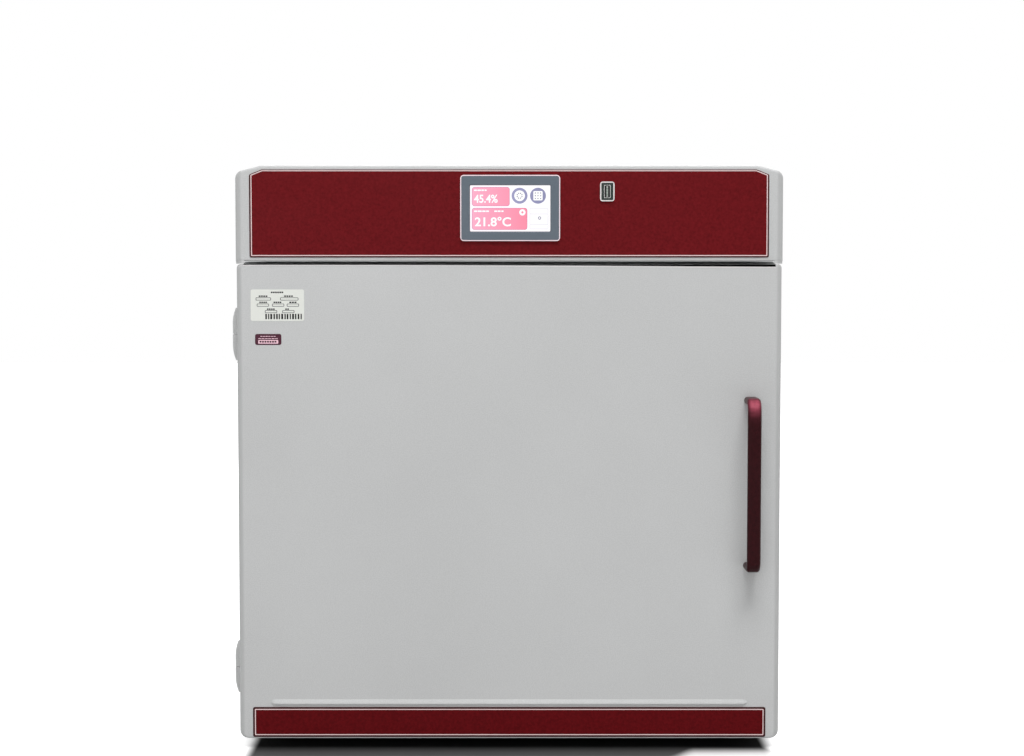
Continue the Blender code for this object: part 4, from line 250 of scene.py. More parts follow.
class Graph:
    """A node tree, with the steps that the finishes, the floor and the world share."""

    def __init__(self, tree):
        self.tree = tree
        self.coordinates = self.node("ShaderNodeTexCoord")
        self.place = self.coordinates.outputs["Object"]

    def node(self, kind, **values):
        """A new node of a kind, with its settings."""
        made = self.tree.nodes.new(kind)
        for key, value in values.items():
            setattr(made, key, value)
        return made

    def feed(self, value, socket):
        """A value set on a socket, or another node's output linked to it."""
        if isinstance(value, bpy.types.NodeSocket):
            self.tree.links.new(value, socket)
        else:
            socket.default_value = value

    def axes(self, vector=None):
        """The X, Y and Z of a vector, which is the place on the object unless given."""
        split = self.node("ShaderNodeSeparateXYZ")
        self.feed(vector or self.place, split.inputs["Vector"])
        return split.outputs

    def scaled(self, scale):
        """The place on the object, scaled along each axis."""
        mapping = self.node("ShaderNodeMapping")
        self.feed(scale, mapping.inputs["Scale"])
        self.feed(self.place, mapping.inputs["Vector"])
        return mapping.outputs["Vector"]

    def maths(self, operation, *values):
        """One sum of values, each a number or another node's output."""
        made = self.node("ShaderNodeMath", operation=operation)
        for socket, value in zip(made.inputs, values):
            self.feed(value, socket)
        return made.outputs[0]

    def mapped(self, value, start, end, low=0.0, high=1.0, kind="LINEAR"):
        """A value moved from one range to another, and held inside it."""
        made = self.node("ShaderNodeMapRange", interpolation_type=kind)
        for key, number in (("From Min", start), ("From Max", end), ("To Min", low), ("To Max", high)):
            self.feed(number, made.inputs[key])
        self.feed(value, made.inputs["Value"])
        return made.outputs["Result"]

    def stepped(self, value, start, end, low=0.0, high=1.0):
        """A smooth step of a value between two places."""
        return self.mapped(value, start, end, low, high, "SMOOTHSTEP")

    def ranged(self, pattern, low, high):
        """A grey pattern's usual spread, moved to a range."""
        return self.mapped(pattern, PATTERN_LOW, PATTERN_HIGH, low, high)

    def noise(self, scale, detail=3.0, rough=0.55, where=None):
        """A grey noise pattern."""
        noise = self.node("ShaderNodeTexNoise")
        self.feed(scale, noise.inputs["Scale"])
        self.feed(detail, noise.inputs["Detail"])
        self.feed(rough, noise.inputs["Roughness"])
        self.feed(where or self.place, noise.inputs["Vector"])
        return noise.outputs["Fac"]

    def cells(self, scale):
        """A cell pattern's colour and distance."""
        cells = self.node("ShaderNodeTexVoronoi")
        self.feed(scale, cells.inputs["Scale"])
        self.feed(self.place, cells.inputs["Vector"])
        return cells.outputs

    def between(self, pattern, low, high, start=PATTERN_LOW, end=PATTERN_HIGH):
        """Two colours mixed by a grey pattern, which runs from start to end."""
        ramp = self.node("ShaderNodeValToRGB")
        first, last = ramp.color_ramp.elements
        first.position, last.position = start, end
        first.color, last.color = (*low, 1.0), (*high, 1.0)
        self.feed(pattern, ramp.inputs["Fac"])
        return ramp.outputs["Color"]

    def varied(self, pattern, colour, darker, paler, start=PATTERN_LOW, end=PATTERN_HIGH):
        """One colour, between a darker and a paler shade of it, by a grey pattern."""
        return self.between(pattern, shaded(colour, darker), shaded(colour, paler), start, end)

    def levelled(self, value, stops, at_end):
        """A grey that follows a table of positions and levels, from none at the start."""
        ramp = self.node("ShaderNodeValToRGB")
        elements = ramp.color_ramp.elements
        elements[1].color = (at_end, at_end, at_end, 1.0)
        elements[0].color = (0.0, 0.0, 0.0, 1.0)
        for place, level in stops:
            elements.new(place).color = (level, level, level, 1.0)
        self.feed(value, ramp.inputs["Fac"])
        return ramp.outputs["Color"]

    def blended(self, share, first, second, kind="MIX"):
        """A share of the second colour laid over the first."""
        mix = self.node("ShaderNodeMix", data_type="RGBA", blend_type=kind)
        self.feed(share, mix.inputs[0])
        self.feed(first, mix.inputs[6])
        self.feed((*second, 1.0) if isinstance(second, tuple) else second, mix.inputs[7])
        return mix.outputs[2]

    def bump(self, height, distance, strength, onto=None):
        """A pattern as fine relief, on the bare face or onto another relief."""
        bump = self.node("ShaderNodeBump")
        self.feed(distance, bump.inputs["Distance"])
        self.feed(strength, bump.inputs["Strength"])
        self.feed(height, bump.inputs["Height"])
        if onto is not None:
            self.feed(onto, bump.inputs["Normal"])
        return bump.outputs["Normal"]

    def seen(self):
        """One where the camera sees this itself, in gloss or through glass, and none otherwise."""
        path = self.node("ShaderNodeLightPath").outputs
        direct = self.maths("MAXIMUM", path["Is Camera Ray"], path["Is Glossy Ray"])
        return self.maths("MAXIMUM", direct, path["Is Transmission Ray"])


class Finish(Graph):
    """The node tree of one material."""

    def __init__(self, name):
        self.material = bpy.data.materials.new(name)
        self.material.use_nodes = True
        super().__init__(self.material.node_tree)
        self.shader = self.tree.nodes["Principled BSDF"]

    def set(self, **values):
        """Values or other nodes' outputs, put on the shader's inputs of these names."""
        for key, value in values.items():
            self.feed(value, self.shader.inputs[key.replace("_", " ")])


def powder(name, colour, painted_edge_shade=False):
    """Powder coat: orange peel and faint clouds, and painted shade along the front's side edges if asked."""
    g = Finish(name)
    base = g.varied(g.noise(3.2, 4.0), colour, 0.97, 1.03)
    specks = g.between(g.noise(810.0, 1.0), BLACK, WHITE, 0.35, 0.65)
    base = g.blended(0.06, base, specks, "OVERLAY")
    if painted_edge_shade:
        # Painted shade: a darker band along the front's side edges, near the front face
        place = g.axes()
        out = g.maths("ABSOLUTE", g.maths("SUBTRACT", place["X"], MIDDLE_X))
        beside = g.stepped(out, HALF_WIDTH - EDGE_BAND[0], HALF_WIDTH - EDGE_BAND[1])
        ahead = g.stepped(place["Y"], FRONT + EDGE_BACK[0], FRONT + EDGE_BACK[1], 1.0, 0.0)
        base = g.blended(g.maths("MULTIPLY", beside, ahead), base, shaded(colour, EDGE_SHADE))
    peel = g.bump(g.noise(900.0, 2.0), 0.00006, 0.35)
    waves = g.bump(g.noise(170.0, 2.0), 0.00012, 0.12, peel)
    g.set(Base_Color=base, Roughness=g.ranged(g.noise(14.0, 4.0), 0.38, 0.48), Normal=waves)
    g.set(Specular_IOR_Level=0.32)
    return g.material


def moulded(name, colour, gloss=0.45, grain=1600.0, depth=0.00004, spread=0.05, specular=0.4):
    """Moulded plastic: fine spark texture, uneven sheen and slight clouding."""
    g = Finish(name)
    base = g.varied(g.noise(9.0, 4.0), colour, 1 - spread, 1 + spread)
    dust = g.noise(420.0, 3.0, 0.7)
    base = g.blended(g.ranged(dust, 0.0, 0.06), base, g.varied(dust, colour, 0.7, 1.4))
    g.set(Base_Color=base, Roughness=g.ranged(g.noise(24.0, 5.0), gloss - 0.07, gloss + 0.09))
    g.set(Normal=g.bump(g.noise(grain, 2.0), depth, 0.4), Specular_IOR_Level=specular)
    return g.material


def printed(name, colour):
    """Printed polyester film: mottling under a fine matte texture."""
    g = Finish(name)
    base = g.varied(g.noise(300.0, 3.0, 0.7), colour, 0.68, 1.32)
    base = g.blended(0.3, base, g.varied(g.noise(2.2, 3.0), colour, 0.93, 1.07))
    g.set(Base_Color=base, Roughness=g.ranged(g.noise(16.0, 4.0), 0.40, 0.51))
    g.set(Normal=g.bump(g.noise(2400.0, 1.0), 0.00002, 0.5), Specular_IOR_Level=0.04)
    return g.material


def brushed(name, colour, stretch, gloss=0.30):
    """Brushed steel: long fine scratches along one way, and soft smudges."""
    g = Finish(name)
    scratches = g.noise(4.0, 6.0, 0.72, g.scaled(stretch))
    base = g.varied(scratches, colour, 0.86, 1.10)
    base = g.blended(g.ranged(g.noise(7.0, 4.0), 0.0, 0.16), base, shaded(colour, 0.80))
    g.set(Base_Color=base, Roughness=g.ranged(scratches, gloss - 0.06, gloss + 0.12))
    g.set(Normal=g.bump(scratches, 0.00003, 0.30), Metallic=1.0)
    return g.material


def glossy_bar(name, colour, paler):
    """Gloss enamel on the handle, with a painted highlight of paler colour over its upper bend."""
    g = Finish(name)
    base = g.varied(g.noise(190.0, 4.0, 0.7), colour, 0.72, 1.28)
    # Painted highlight: a paler colour laid over the upper bend, fading across and behind the bar
    painted_highlight = g.varied(g.noise(260.0, 3.0), paler, 0.8, 1.15)
    place = g.axes()
    height = g.mapped(place["Z"], BAR_HIGH[2] - SHEEN_HEIGHT, BAR_HIGH[2])
    sheen = g.levelled(height, SHEEN_STOPS, SHEEN_AT_TOP)
    out = g.maths("ABSOLUTE", g.maths("SUBTRACT", place["X"], (BAR_LOW[0] + BAR_HIGH[0]) / 2))
    beside = g.stepped(out, *SHEEN_SIDE, 1.0, SHEEN_SIDE_SHARE)
    behind = g.stepped(
        place["Y"], BAR_LOW[1] + SHEEN_BEHIND[0], BAR_LOW[1] + SHEEN_BEHIND[1], 1.0, SHEEN_BEHIND_SHARE
    )
    share = g.maths("MULTIPLY", sheen, g.maths("MULTIPLY", beside, behind))
    g.set(Base_Color=g.blended(share, base, painted_highlight), Roughness=g.ranged(g.noise(40.0, 5.0), 0.26, 0.36))
    g.set(Normal=g.bump(g.noise(900.0, 2.0), 0.00002, 0.4), Specular_IOR_Level=0.05)
    return g.material


def zinc(name, colour):
    """Zinc-coated sheet with spangles."""
    g = Finish(name)
    grey = g.node("ShaderNodeRGBToBW")
    g.feed(g.cells(70.0)["Color"], grey.inputs["Color"])
    spangles = grey.outputs["Val"]
    base = g.varied(spangles, colour, 0.82, 1.15, 0.1, 0.9)
    base = g.blended(g.ranged(g.noise(30.0, 5.0), 0.0, 0.25), base, shaded(colour, 0.7))
    g.set(Base_Color=base, Roughness=g.ranged(spangles, 0.34, 0.55))
    g.set(Normal=g.bump(g.noise(300.0, 3.0), 0.00004, 0.3), Metallic=0.9)
    return g.material


def tube_copper(name):
    """Drawn copper, browned in patches."""
    g = Finish(name)
    base = g.between(g.noise(34.0, 5.0, 0.65), (0.34, 0.15, 0.09), (0.78, 0.36, 0.20), 0.34, 0.60)
    base = g.blended(g.ranged(g.noise(210.0, 3.0), 0.0, 0.35), base, (0.60, 0.27, 0.15))
    g.set(Base_Color=base, Roughness=g.ranged(g.noise(60.0, 4.0), 0.24, 0.46))
    g.set(Normal=g.bump(g.noise(500.0, 2.0), 0.00003, 0.3), Metallic=1.0)
    return g.material


def finned(name):
    """Bare aluminium with fine fin lines across it."""
    g = Finish(name)
    wave = g.node("ShaderNodeTexWave", wave_type="BANDS", bands_direction="X")
    g.feed(130.0, wave.inputs["Scale"])
    g.feed(0.4, wave.inputs["Distortion"])
    g.feed(g.place, wave.inputs["Vector"])
    fins = wave.outputs["Fac"]
    base = g.between(fins, (0.28, 0.29, 0.30), (0.74, 0.75, 0.76), 0.2, 0.8)
    base = g.blended(g.ranged(g.noise(28.0, 4.0), 0.0, 0.35), base, (0.42, 0.42, 0.41))
    g.set(Base_Color=base, Roughness=g.ranged(g.noise(60.0, 3.0), 0.32, 0.5))
    g.set(Normal=g.bump(fins, 0.0002, 0.6), Metallic=1.0)
    return g.material


def rubbery(name, colour):
    """Dull rubber with dust in its grain."""
    g = Finish(name)
    g.set(Base_Color=g.varied(g.noise(260.0, 5.0, 0.7), colour, 0.8, 1.5))
    g.set(Roughness=g.ranged(g.noise(40.0, 4.0), 0.62, 0.82), Specular_IOR_Level=0.3)
    g.set(Normal=g.bump(g.noise(700.0, 3.0), 0.00008, 0.5))
    return g.material


def foamed(name):
    """Rigid foam with open cells."""
    g = Finish(name)
    cells = g.cells(420.0)["Distance"]
    base = g.between(cells, (0.70, 0.58, 0.33), (0.86, 0.76, 0.50), 0.1, 0.7)
    base = g.blended(g.ranged(g.noise(6.0, 3.0), 0.0, 0.4), base, (0.72, 0.58, 0.30))
    g.set(Base_Color=base, Roughness=0.95, Normal=g.bump(cells, 0.0004, 0.6))
    return g.material


def across(units):
    """A place across the screen, in x."""
    return GLASS_LOW[0] + units * SCREEN_UNIT


def down(units):
    """A place down the screen, in z."""
    return GLASS_HIGH[2] - units * SCREEN_UNIT


def lit(name, left, right, start=0, end=80):
    """A lit field whose colour runs from left to right between two places on the screen."""
    g = Finish(name)
    along = g.mapped(g.axes()["X"], across(start), across(end))
    colour = g.between(along, left, right, 0.0, 1.0)
    dots = g.between(g.noise(5200.0, 1.0), BLACK, WHITE)
    g.set(Emission_Color=g.blended(0.05, colour, dots, "OVERLAY"), Emission_Strength=1.0)
    g.set(Base_Color=(0.02, 0.02, 0.022, 1.0), Specular_IOR_Level=0.3)
    g.set(Roughness=g.ranged(g.noise(30.0, 3.0), 0.08, 0.16))
    return g.material


def ink(name, colour, gloss, spread=0.08):
    """Printed ink: near flat, with the mottling of the print."""
    g = Finish(name)
    g.set(Base_Color=g.varied(g.noise(900.0, 3.0, 0.7), colour, 1 - spread, 1 + spread))
    g.set(Roughness=g.ranged(g.noise(50.0, 3.0), gloss - 0.05, gloss + 0.08), Specular_IOR_Level=0.25)
    return g.material


# Finishes of the CAD nodes, by material slot and then by node
BY_SLOT = {
    "grey_paint": powder("grey_powder_coat", GREY, painted_edge_shade=True),
    "red_film": printed("deep_red_film", srgb(104, 21, 26)),
    # The paler colour given to the handle is its painted highlight
    "maroon_coat": glossy_bar("maroon_gloss", srgb(46, 13, 17), srgb(172, 80, 98)),
    "stainless": brushed("brushed_stainless", STEEL, (2.0, 260.0, 260.0)),
    "galvanised": zinc("zinc_sheet", (0.50, 0.52, 0.53)),
    "supply_case": zinc("supply_sheet", (0.56, 0.57, 0.58)),
    "coil_fins": finned("coil_fins"),
    "copper": tube_copper("copper_tube"),
    "compressor_black": moulded("black_enamel", (0.012, 0.012, 0.013), 0.28, 300.0, 0.00005, 0.2),
    "black_plastic": moulded("black_moulding", (0.020, 0.020, 0.022), 0.48),
    "white_plastic": moulded("white_moulding", (0.70, 0.71, 0.70), 0.42),
    "slate_plastic": moulded("slate_moulding", srgb(92, 102, 112), 0.46, 1800.0, 0.00003, 0.04, 0.3),
    "light_plastic": moulded("light_moulding", srgb(228, 222, 221), 0.40, 1500.0, 0.00002, 0.04, 0.3),
    "lit_glass": lit("lit_screen", srgb(252, 244, 250), srgb(252, 250, 254), end=SCREEN_GRID),
    "board_green": moulded("solder_mask", (0.02, 0.13, 0.055), 0.35, 700.0, 0.00006, 0.25),
    "rubber": rubbery("dull_rubber", (0.025, 0.025, 0.027)),
    "foam": foamed("rigid_foam"),
}
WALLS = brushed("brushed_walls", STEEL, (260.0, 260.0, 2.0))
BY_NODE = {
    # The foot film's red is darker than the head film's as painted shade
    "foot_film": printed("red_film_painted_shade", srgb(91, 12, 17)),
    "door_gasket": rubbery("grey_gasket", srgb(120, 122, 124)),
    "inner_chamber": WALLS,
    "rear_baffle": WALLS,
}

# Finishes of the scene's own pieces
SCREW = brushed("screw_head", (0.30, 0.30, 0.295), (90.0, 90.0, 90.0), 0.34)
# A black sheet as painted shade in the gap between hood and door
GAP_SHADE = moulded("painted_gap_shade", (0.002, 0.002, 0.002), 0.9, 900.0, 0.00002, 0.2, 0.0)
DARK = moulded("dark_recess", (0.006, 0.006, 0.007), 0.7)
# The lip's paler grey is a painted highlight on the door's top edge
LIP_PAINTED_HIGHLIGHT = powder("lip_painted_highlight", srgb(216, 213, 214))
BEZEL_LINE = moulded("bezel_edge", srgb(250, 228, 234), 0.35, 1500.0, 0.00002, 0.04, 0.3)
SOCKET_GREY = moulded("socket_grey", srgb(48, 56, 53), 0.5, 1600.0, 0.00004, 0.05, 0.15)
TONGUE_GREY = moulded("socket_tongue_grey", srgb(138, 148, 140), 0.5, 1600.0, 0.00004, 0.08, 0.2)
EDGE_INK = ink("film_edge_ink", srgb(44, 8, 12), 0.55)
STRIPE_INK = ink("pinstripe_ink", srgb(232, 208, 208), 0.45)
LABEL_WHITE = ink("label_white", srgb(230, 232, 226), 0.42, 0.02)
LABEL_BLACK = ink("label_black", srgb(16, 16, 18), 0.6)
LABEL_GREY = ink("label_grey", srgb(96, 97, 98), 0.5)
LABEL_MAROON = ink("label_maroon", srgb(66, 22, 40), 0.5)
LABEL_ROSE = ink("label_rose", srgb(240, 200, 212), 0.4)
PINK = lit("reading_field", srgb(248, 160, 190), srgb(250, 128, 156), 2, 57)
PINK_RIM = lit("reading_rim", srgb(186, 108, 158), srgb(200, 96, 140), 2, 57)
LILAC = lit("key_ring", srgb(142, 142, 184), srgb(126, 128, 166), 41, 76)
LIT_WHITE = lit("lit_white", srgb(255, 250, 253), srgb(255, 255, 255))
LIT_GREY = lit("lit_grey", srgb(208, 208, 214), srgb(200, 202, 208))
LIT_MARK = lit("lit_mark", srgb(96, 100, 128), srgb(96, 100, 128))


def finish_nodes():
    """Every CAD node's own finish, put on its material slots."""
    slots = {part["node"]: part["material_slot"] for part in frame["record"]["subparts"]}
    for name, node in frame["nodes"].items():
        for place in node.material_slots:
            place.material = BY_NODE.get(name, BY_SLOT[slots[name]])


def corner_at(corners, number):
    """A corner, the ways back and on from it, and half the angle between them."""
    here = Vector(corners[number])
    back = (Vector(corners[number - 1]) - here).normalized()
    on = (Vector(corners[(number + 1) % len(corners)]) - here).normalized()
    return here, back, on, back.angle(on) / 2


def rounded(corners, radius, steps):
    """A closed outline through corners, each one replaced by an arc of the radius."""
    points = []
    for number in range(len(corners)):
        here, back, on, half = corner_at(corners, number)
        middle = here + (back + on).normalized() * (radius / math.sin(half))
        first = here + back * (radius / math.tan(half)) - middle
        last = here + on * (radius / math.tan(half)) - middle
        for step in range(steps + 1):
            points.append(tuple(middle + first.slerp(last, step / steps) * radius))
    return points


def inset(corners, distance):
    """A convex outline's corners, given counter-clockwise, moved in by a distance."""
    out = []
    for number in range(len(corners)):
        here, back, on, half = corner_at(corners, number)
        out.append(tuple(here + (back + on).normalized() * (distance / math.sin(half))))
    return out


def rectangle(left, right, low, high, radius, steps=5):
    """A rounded rectangle between two sides, a foot and a top."""
    return rounded(((right, low), (right, high), (left, high), (left, low)), radius, steps)


def centred(x, z, width, height, radius, steps=2):
    """A rounded rectangle about its middle."""
    return rectangle(x - width / 2, x + width / 2, z - height / 2, z + height / 2, radius, steps)


def around(low, high, margin, radius):
    """A rounded rectangle outside a node's box by a margin, or inside it by a negative one."""
    return rectangle(low[0] - margin, high[0] + margin, low[2] - margin, high[2] + margin, radius)


def disc(x, z, radius, sides):
    """A round outline about its middle."""
    turns = [2 * math.pi * side / sides for side in range(sides)]
    return [(x + radius * math.cos(turn), z + radius * math.sin(turn)) for turn in turns]


def screen_disc(x, z, radius, sides):
    """A round outline on the screen's grid."""
    return disc(across(x), down(z), radius * SCREEN_UNIT, sides)


def linked(name, mesh, material, body, smooth=35.0):
    """A mesh made a piece of the scene, which rides on a body."""
    mesh.materials.append(material)
    mesh.shade_smooth()
    mesh.set_sharp_from_angle(angle=math.radians(smooth))
    piece = bpy.data.objects.new(name, mesh)
    bpy.context.scene.collection.objects.link(piece)
    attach(piece, body)


def mesh_of(name, bm):
    """The mesh of a finished shape, with its faces turned outwards."""
    bmesh.ops.recalc_face_normals(bm, faces=bm.faces[:])
    mesh = bpy.data.meshes.new(name)
    bm.to_mesh(mesh)
    bm.free()
    return mesh


def plates(name, groups, back, front, material, body):
    """Flat solids between two depths. Each group is an outline and the holes in it."""
    bm = bmesh.new()
    for loops in groups:
        edges = []
        for loop in loops:
            ring = [bm.verts.new((x, back, z)) for x, z in loop]
            edges += [bm.edges.new((ring[i - 1], ring[i])) for i in range(len(ring))]
        filled = bmesh.ops.triangle_fill(bm, edges=edges, use_beauty=True)
        faces = [item for item in filled["geom"] if isinstance(item, bmesh.types.BMFace)]
        raised = bmesh.ops.extrude_face_region(bm, geom=faces)
        moved = [item for item in raised["geom"] if isinstance(item, bmesh.types.BMVert)]
        bmesh.ops.translate(bm, verts=moved, vec=(0.0, front - back, 0.0))
    linked(name, mesh_of(name, bm), material, body)


def layer(name, groups, face, material, body, level=0):
    """One printed layer on a face, or at a level above it, counted in layers."""
    back = face - level * PRINT
    plates(name, groups, back, back - PRINT, material, body)


def lettering(name, text, size, left, low, width, face):
    """A generic number as a lit layer on the screen, fitted to a width."""
    curve = bpy.data.curves.new(name, "FONT")
    curve.body = text
    curve.size = size
    curve.offset = size * LETTER_WEIGHT
    curve.extrude = PRINT / 2
    carrier = bpy.data.objects.new(name + "_source", curve)
    bpy.context.scene.collection.objects.link(carrier)
    bpy.context.view_layer.update()
    depsgraph = bpy.context.evaluated_depsgraph_get()
    mesh = bpy.data.meshes.new_from_object(carrier.evaluated_get(depsgraph))
    bpy.data.objects.remove(carrier)
    first_x = min(vertex.co.x for vertex in mesh.vertices)
    last_x = max(vertex.co.x for vertex in mesh.vertices)
    foot = min(vertex.co.y for vertex in mesh.vertices)
    squeeze = width / (last_x - first_x)
    for vertex in mesh.vertices:
        x, y, z = vertex.co
        vertex.co = (left + (x - first_x) * squeeze, face - z - PRINT / 2, low + (y - foot))
    mesh.materials.clear()
    mesh.update()
    linked(name, mesh, LIT_WHITE, CABINET)


def film_print(name, corners, inner, edge, face, body):
    """A dark edge round a film and a pinstripe inside it; inner holds the stripe's own corners."""
    def loop(points, distance, radius):
        return rounded(inset(points, distance), radius, 3)

    rim = [loop(corners, EDGE_MARGIN, EDGE_OUTER_RADIUS), loop(inner, edge, EDGE_INNER_RADIUS)]
    stripe = [
        loop(inner, edge + STRIPE_START, STRIPE_OUTER_RADIUS),
        loop(inner, edge + STRIPE_END, STRIPE_INNER_RADIUS),
    ]
    layer(name + "_edge", [rim], face, EDGE_INK, body)
    layer(name + "_stripe", [stripe], face, STRIPE_INK, body)


def head_corners(top):
    """The head film's corners, with its upper two cut off, up to a given top."""
    left, right, low = HEAD_LOW[0], HEAD_HIGH[0], HEAD_LOW[2]
    return [
        (left, low), (right, low), (right, top - HEAD_CUT_DROP), (right - HEAD_CUT_RUN, top),
        (left + HEAD_CUT_RUN, top), (left, top - HEAD_CUT_DROP),
    ]


def film_prints():
    """The print on the head film and on the foot film."""
    top = HEAD_HIGH[2]
    raised = head_corners(top + HEAD_PRINT_RISE)
    film_print("head_film_print", head_corners(top), raised, HEAD_EDGE, HEAD_LOW[1], CABINET)
    left, right, low, high = FOOT_LOW[0], FOOT_HIGH[0], FOOT_LOW[2], FOOT_HIGH[2]
    foot = [(left, low), (right, low), (right, high), (left, high)]
    film_print("foot_film_print", foot, foot, FOOT_EDGE, FOOT_LOW[1], DOOR)


def door_lip():
    """The door's upper lip, which drops a little towards the handle and is paler as a painted highlight, and
    above it a black sheet as painted shade in the gap.
    """
    left, right, top = DOOR_LOW[0] + LIP_FROM_SIDE, DOOR_HIGH[0] - LIP_FROM_SIDE, DOOR_HIGH[2]
    edge = [(left + (right - left) * share, top - drop) for share, drop in LIP_DROP]
    foot = [(x, z - LIP_LINE) for x, z in reversed(edge)]
    roof = [(right, top - GAP_SHADE_FROM_TOP), (left, top - GAP_SHADE_FROM_TOP)]
    plates("door_upper_lip", [[edge + foot]], FRONT + LIP_DEPTH, FRONT - LIP_PROUD, LIP_PAINTED_HIGHLIGHT, DOOR)
    # Painted shade: a black sheet fills the gap above the lip
    plates("door_upper_gap_shade", [[edge + roof]], FRONT + GAP_SHADE_DEPTH, FRONT, GAP_SHADE, DOOR)


def bezel_line():
    """The pale line round the touch bezel."""
    outer = around(BEZEL_LOW, BEZEL_HIGH, BEZEL_LINE_OUT, BEZEL_OUTER_RADIUS)
    inner = around(BEZEL_LOW, BEZEL_HIGH, -BEZEL_LINE_IN, BEZEL_INNER_RADIUS)
    front = BEZEL_LOW[1] + BEZEL_LINE_SET_BACK
    plates("touch_bezel_edge", [[outer, inner]], BEZEL_HIGH[1], front, BEZEL_LINE, CABINET)


def readings():
    """The two readings on the lit screen, with short bars over them and a round badge."""
    face = GLASS_LOW[1]
    for name, start, end, top, foot in READING_FIELDS:
        left, right, low, high = across(start), across(end), down(foot), down(top)
        rim = rectangle(left, right, low, high, READING_RADIUS)
        layer(name + "_rim", [[rim]], face, PINK_RIM, CABINET)
        field = rectangle(
            left + READING_RIM, right - READING_RIM, low + READING_RIM, high - READING_RIM,
            READING_INNER_RADIUS,
        )
        layer(name, [[field]], face, PINK, CABINET, 1)
    for name, text, size, start, foot, width in READING_NUMBERS:
        lettering(name, text, size, across(start), down(foot), width * SCREEN_UNIT, face - 2 * PRINT)
    bars = []
    for start, width, foot in CAPTION_BARS:
        left, right = across(start), across(start + width)
        bars.append([rectangle(left, right, down(foot), down(foot - CAPTION_HEIGHT), CAPTION_RADIUS, 2)])
    layer("reading_captions", bars, face, LIT_WHITE, CABINET, 2)
    badge = [screen_disc(BADGE_X, BADGE_Z, BADGE_RADIUS, 40), screen_disc(BADGE_X, BADGE_Z, BADGE_HOLE, 24)]
    layer("reading_badge", [badge], face, LIT_WHITE, CABINET, 2)


def touch_keys():
    """The two round keys on the lit screen, with a mark on each."""
    face = GLASS_LOW[1]
    for name, x in (("key_settings", SETTINGS_X), ("key_menu", MENU_X)):
        layer(name + "_ring", [[screen_disc(x, KEY_LEVEL, KEY_RADIUS, 56)]], face, LILAC, CABINET)
    settings = screen_disc(SETTINGS_X, KEY_LEVEL, SETTINGS_DISC, 48)
    layer("key_settings_disc", [[settings]], face, LIT_WHITE, CABINET, 1)
    middle_x, middle_z = across(SETTINGS_X), down(KEY_LEVEL)
    teeth = []
    for number in range(SETTINGS_TEETH):
        angle = 2 * math.pi * (number + 0.5) / SETTINGS_TEETH
        x = middle_x + SETTINGS_CIRCLE * SCREEN_UNIT * math.cos(angle)
        z = middle_z + SETTINGS_CIRCLE * SCREEN_UNIT * math.sin(angle)
        teeth.append([disc(x, z, MARK_DOT * SCREEN_UNIT, 12)])
    layer("key_settings_mark", teeth, face, LIT_MARK, CABINET, 2)
    side = MENU_SQUARE * SCREEN_UNIT
    square = centred(across(MENU_X), middle_z, side, side, MENU_RADIUS, 5)
    layer("key_menu_square", [[square]], face, LIT_WHITE, CABINET, 1)
    dots = []
    for column in (-1, 0, 1):
        for row in (-1, 0, 1):
            x = across(MENU_X) + column * MENU_PITCH * SCREEN_UNIT
            z = middle_z + row * MENU_PITCH * SCREEN_UNIT
            dots.append([disc(x, z, MARK_DOT * SCREEN_UNIT, 12)])
    layer("key_menu_dots", dots, face, LIT_MARK, CABINET, 2)


def screen_table():
    """The small ruled table on the lit screen, and the round mark in it."""
    face, thin, radius = GLASS_LOW[1], TABLE_HALF_LINE, TABLE_RADIUS
    left, right = across(TABLE_SIDES[0]), across(TABLE_SIDES[1])
    rules = []
    for level in TABLE_LEVELS:
        rules.append([rectangle(left, right, down(level) - thin, down(level) + thin, radius, 1)])
    rising = TABLE_LEVELS[::-1]
    for x in (left, right):
        for foot, top in zip(rising, rising[1:]):
            low, high = down(foot) + 2 * thin, down(top) - 2 * thin
            rules.append([rectangle(x - thin, x + thin, low, high, radius, 1)])
    layer("screen_table", rules, face, LIT_GREY, CABINET)
    mark = [
        screen_disc(TABLE_MARK_X, TABLE_MARK_Z, TABLE_MARK_RADIUS, 20),
        screen_disc(TABLE_MARK_X, TABLE_MARK_Z, TABLE_MARK_HOLE, 16),
    ]
    layer("screen_table_mark", [mark], face, LIT_MARK, CABINET)


def data_socket():
    """The socket's dark field inside its pale rim, its recess, two springs and the tongue's face."""
    x, z = (SOCKET_LOW[0] + SOCKET_HIGH[0]) / 2, (SOCKET_LOW[2] + SOCKET_HIGH[2]) / 2
    face = SOCKET_LOW[1]
    field = [around(SOCKET_LOW, SOCKET_HIGH, -SOCKET_RIM, SOCKET_FIELD_RADIUS), centred(x, z, *MOUTH)]
    layer("socket_field", [field], face, SOCKET_GREY, CABINET)
    recess = [centred(x, z, *RECESS), centred(x, z, *TONGUE_SLOT)]
    plates("socket_recess", [recess], face + RECESS_BACK, face + RECESS_FRONT, DARK, CABINET)
    springs = [[centred(x + side * SPRING_FROM_MIDDLE, z + SPRING_RISE, *SPRING)] for side in (-1, 1)]
    plates("socket_springs", springs, face + RECESS_FRONT, face + SPRING_FRONT, DARK, CABINET)
    tongue = [[centred(x, z + row * TONGUE_PITCH, *TONGUE_BAR)] for row in (-1, 0, 1)]
    plates("socket_tongue_face", tongue, face + TONGUE_BACK, face + TONGUE_FRONT, TONGUE_GREY, CABINET)


def label_at(x, z, width, height):
    """A label's left, right, foot and top on the door, from its middle and its size."""
    left, low = MIDDLE_X + x - width / 2, z - height / 2
    return left, left + width, low, low + height


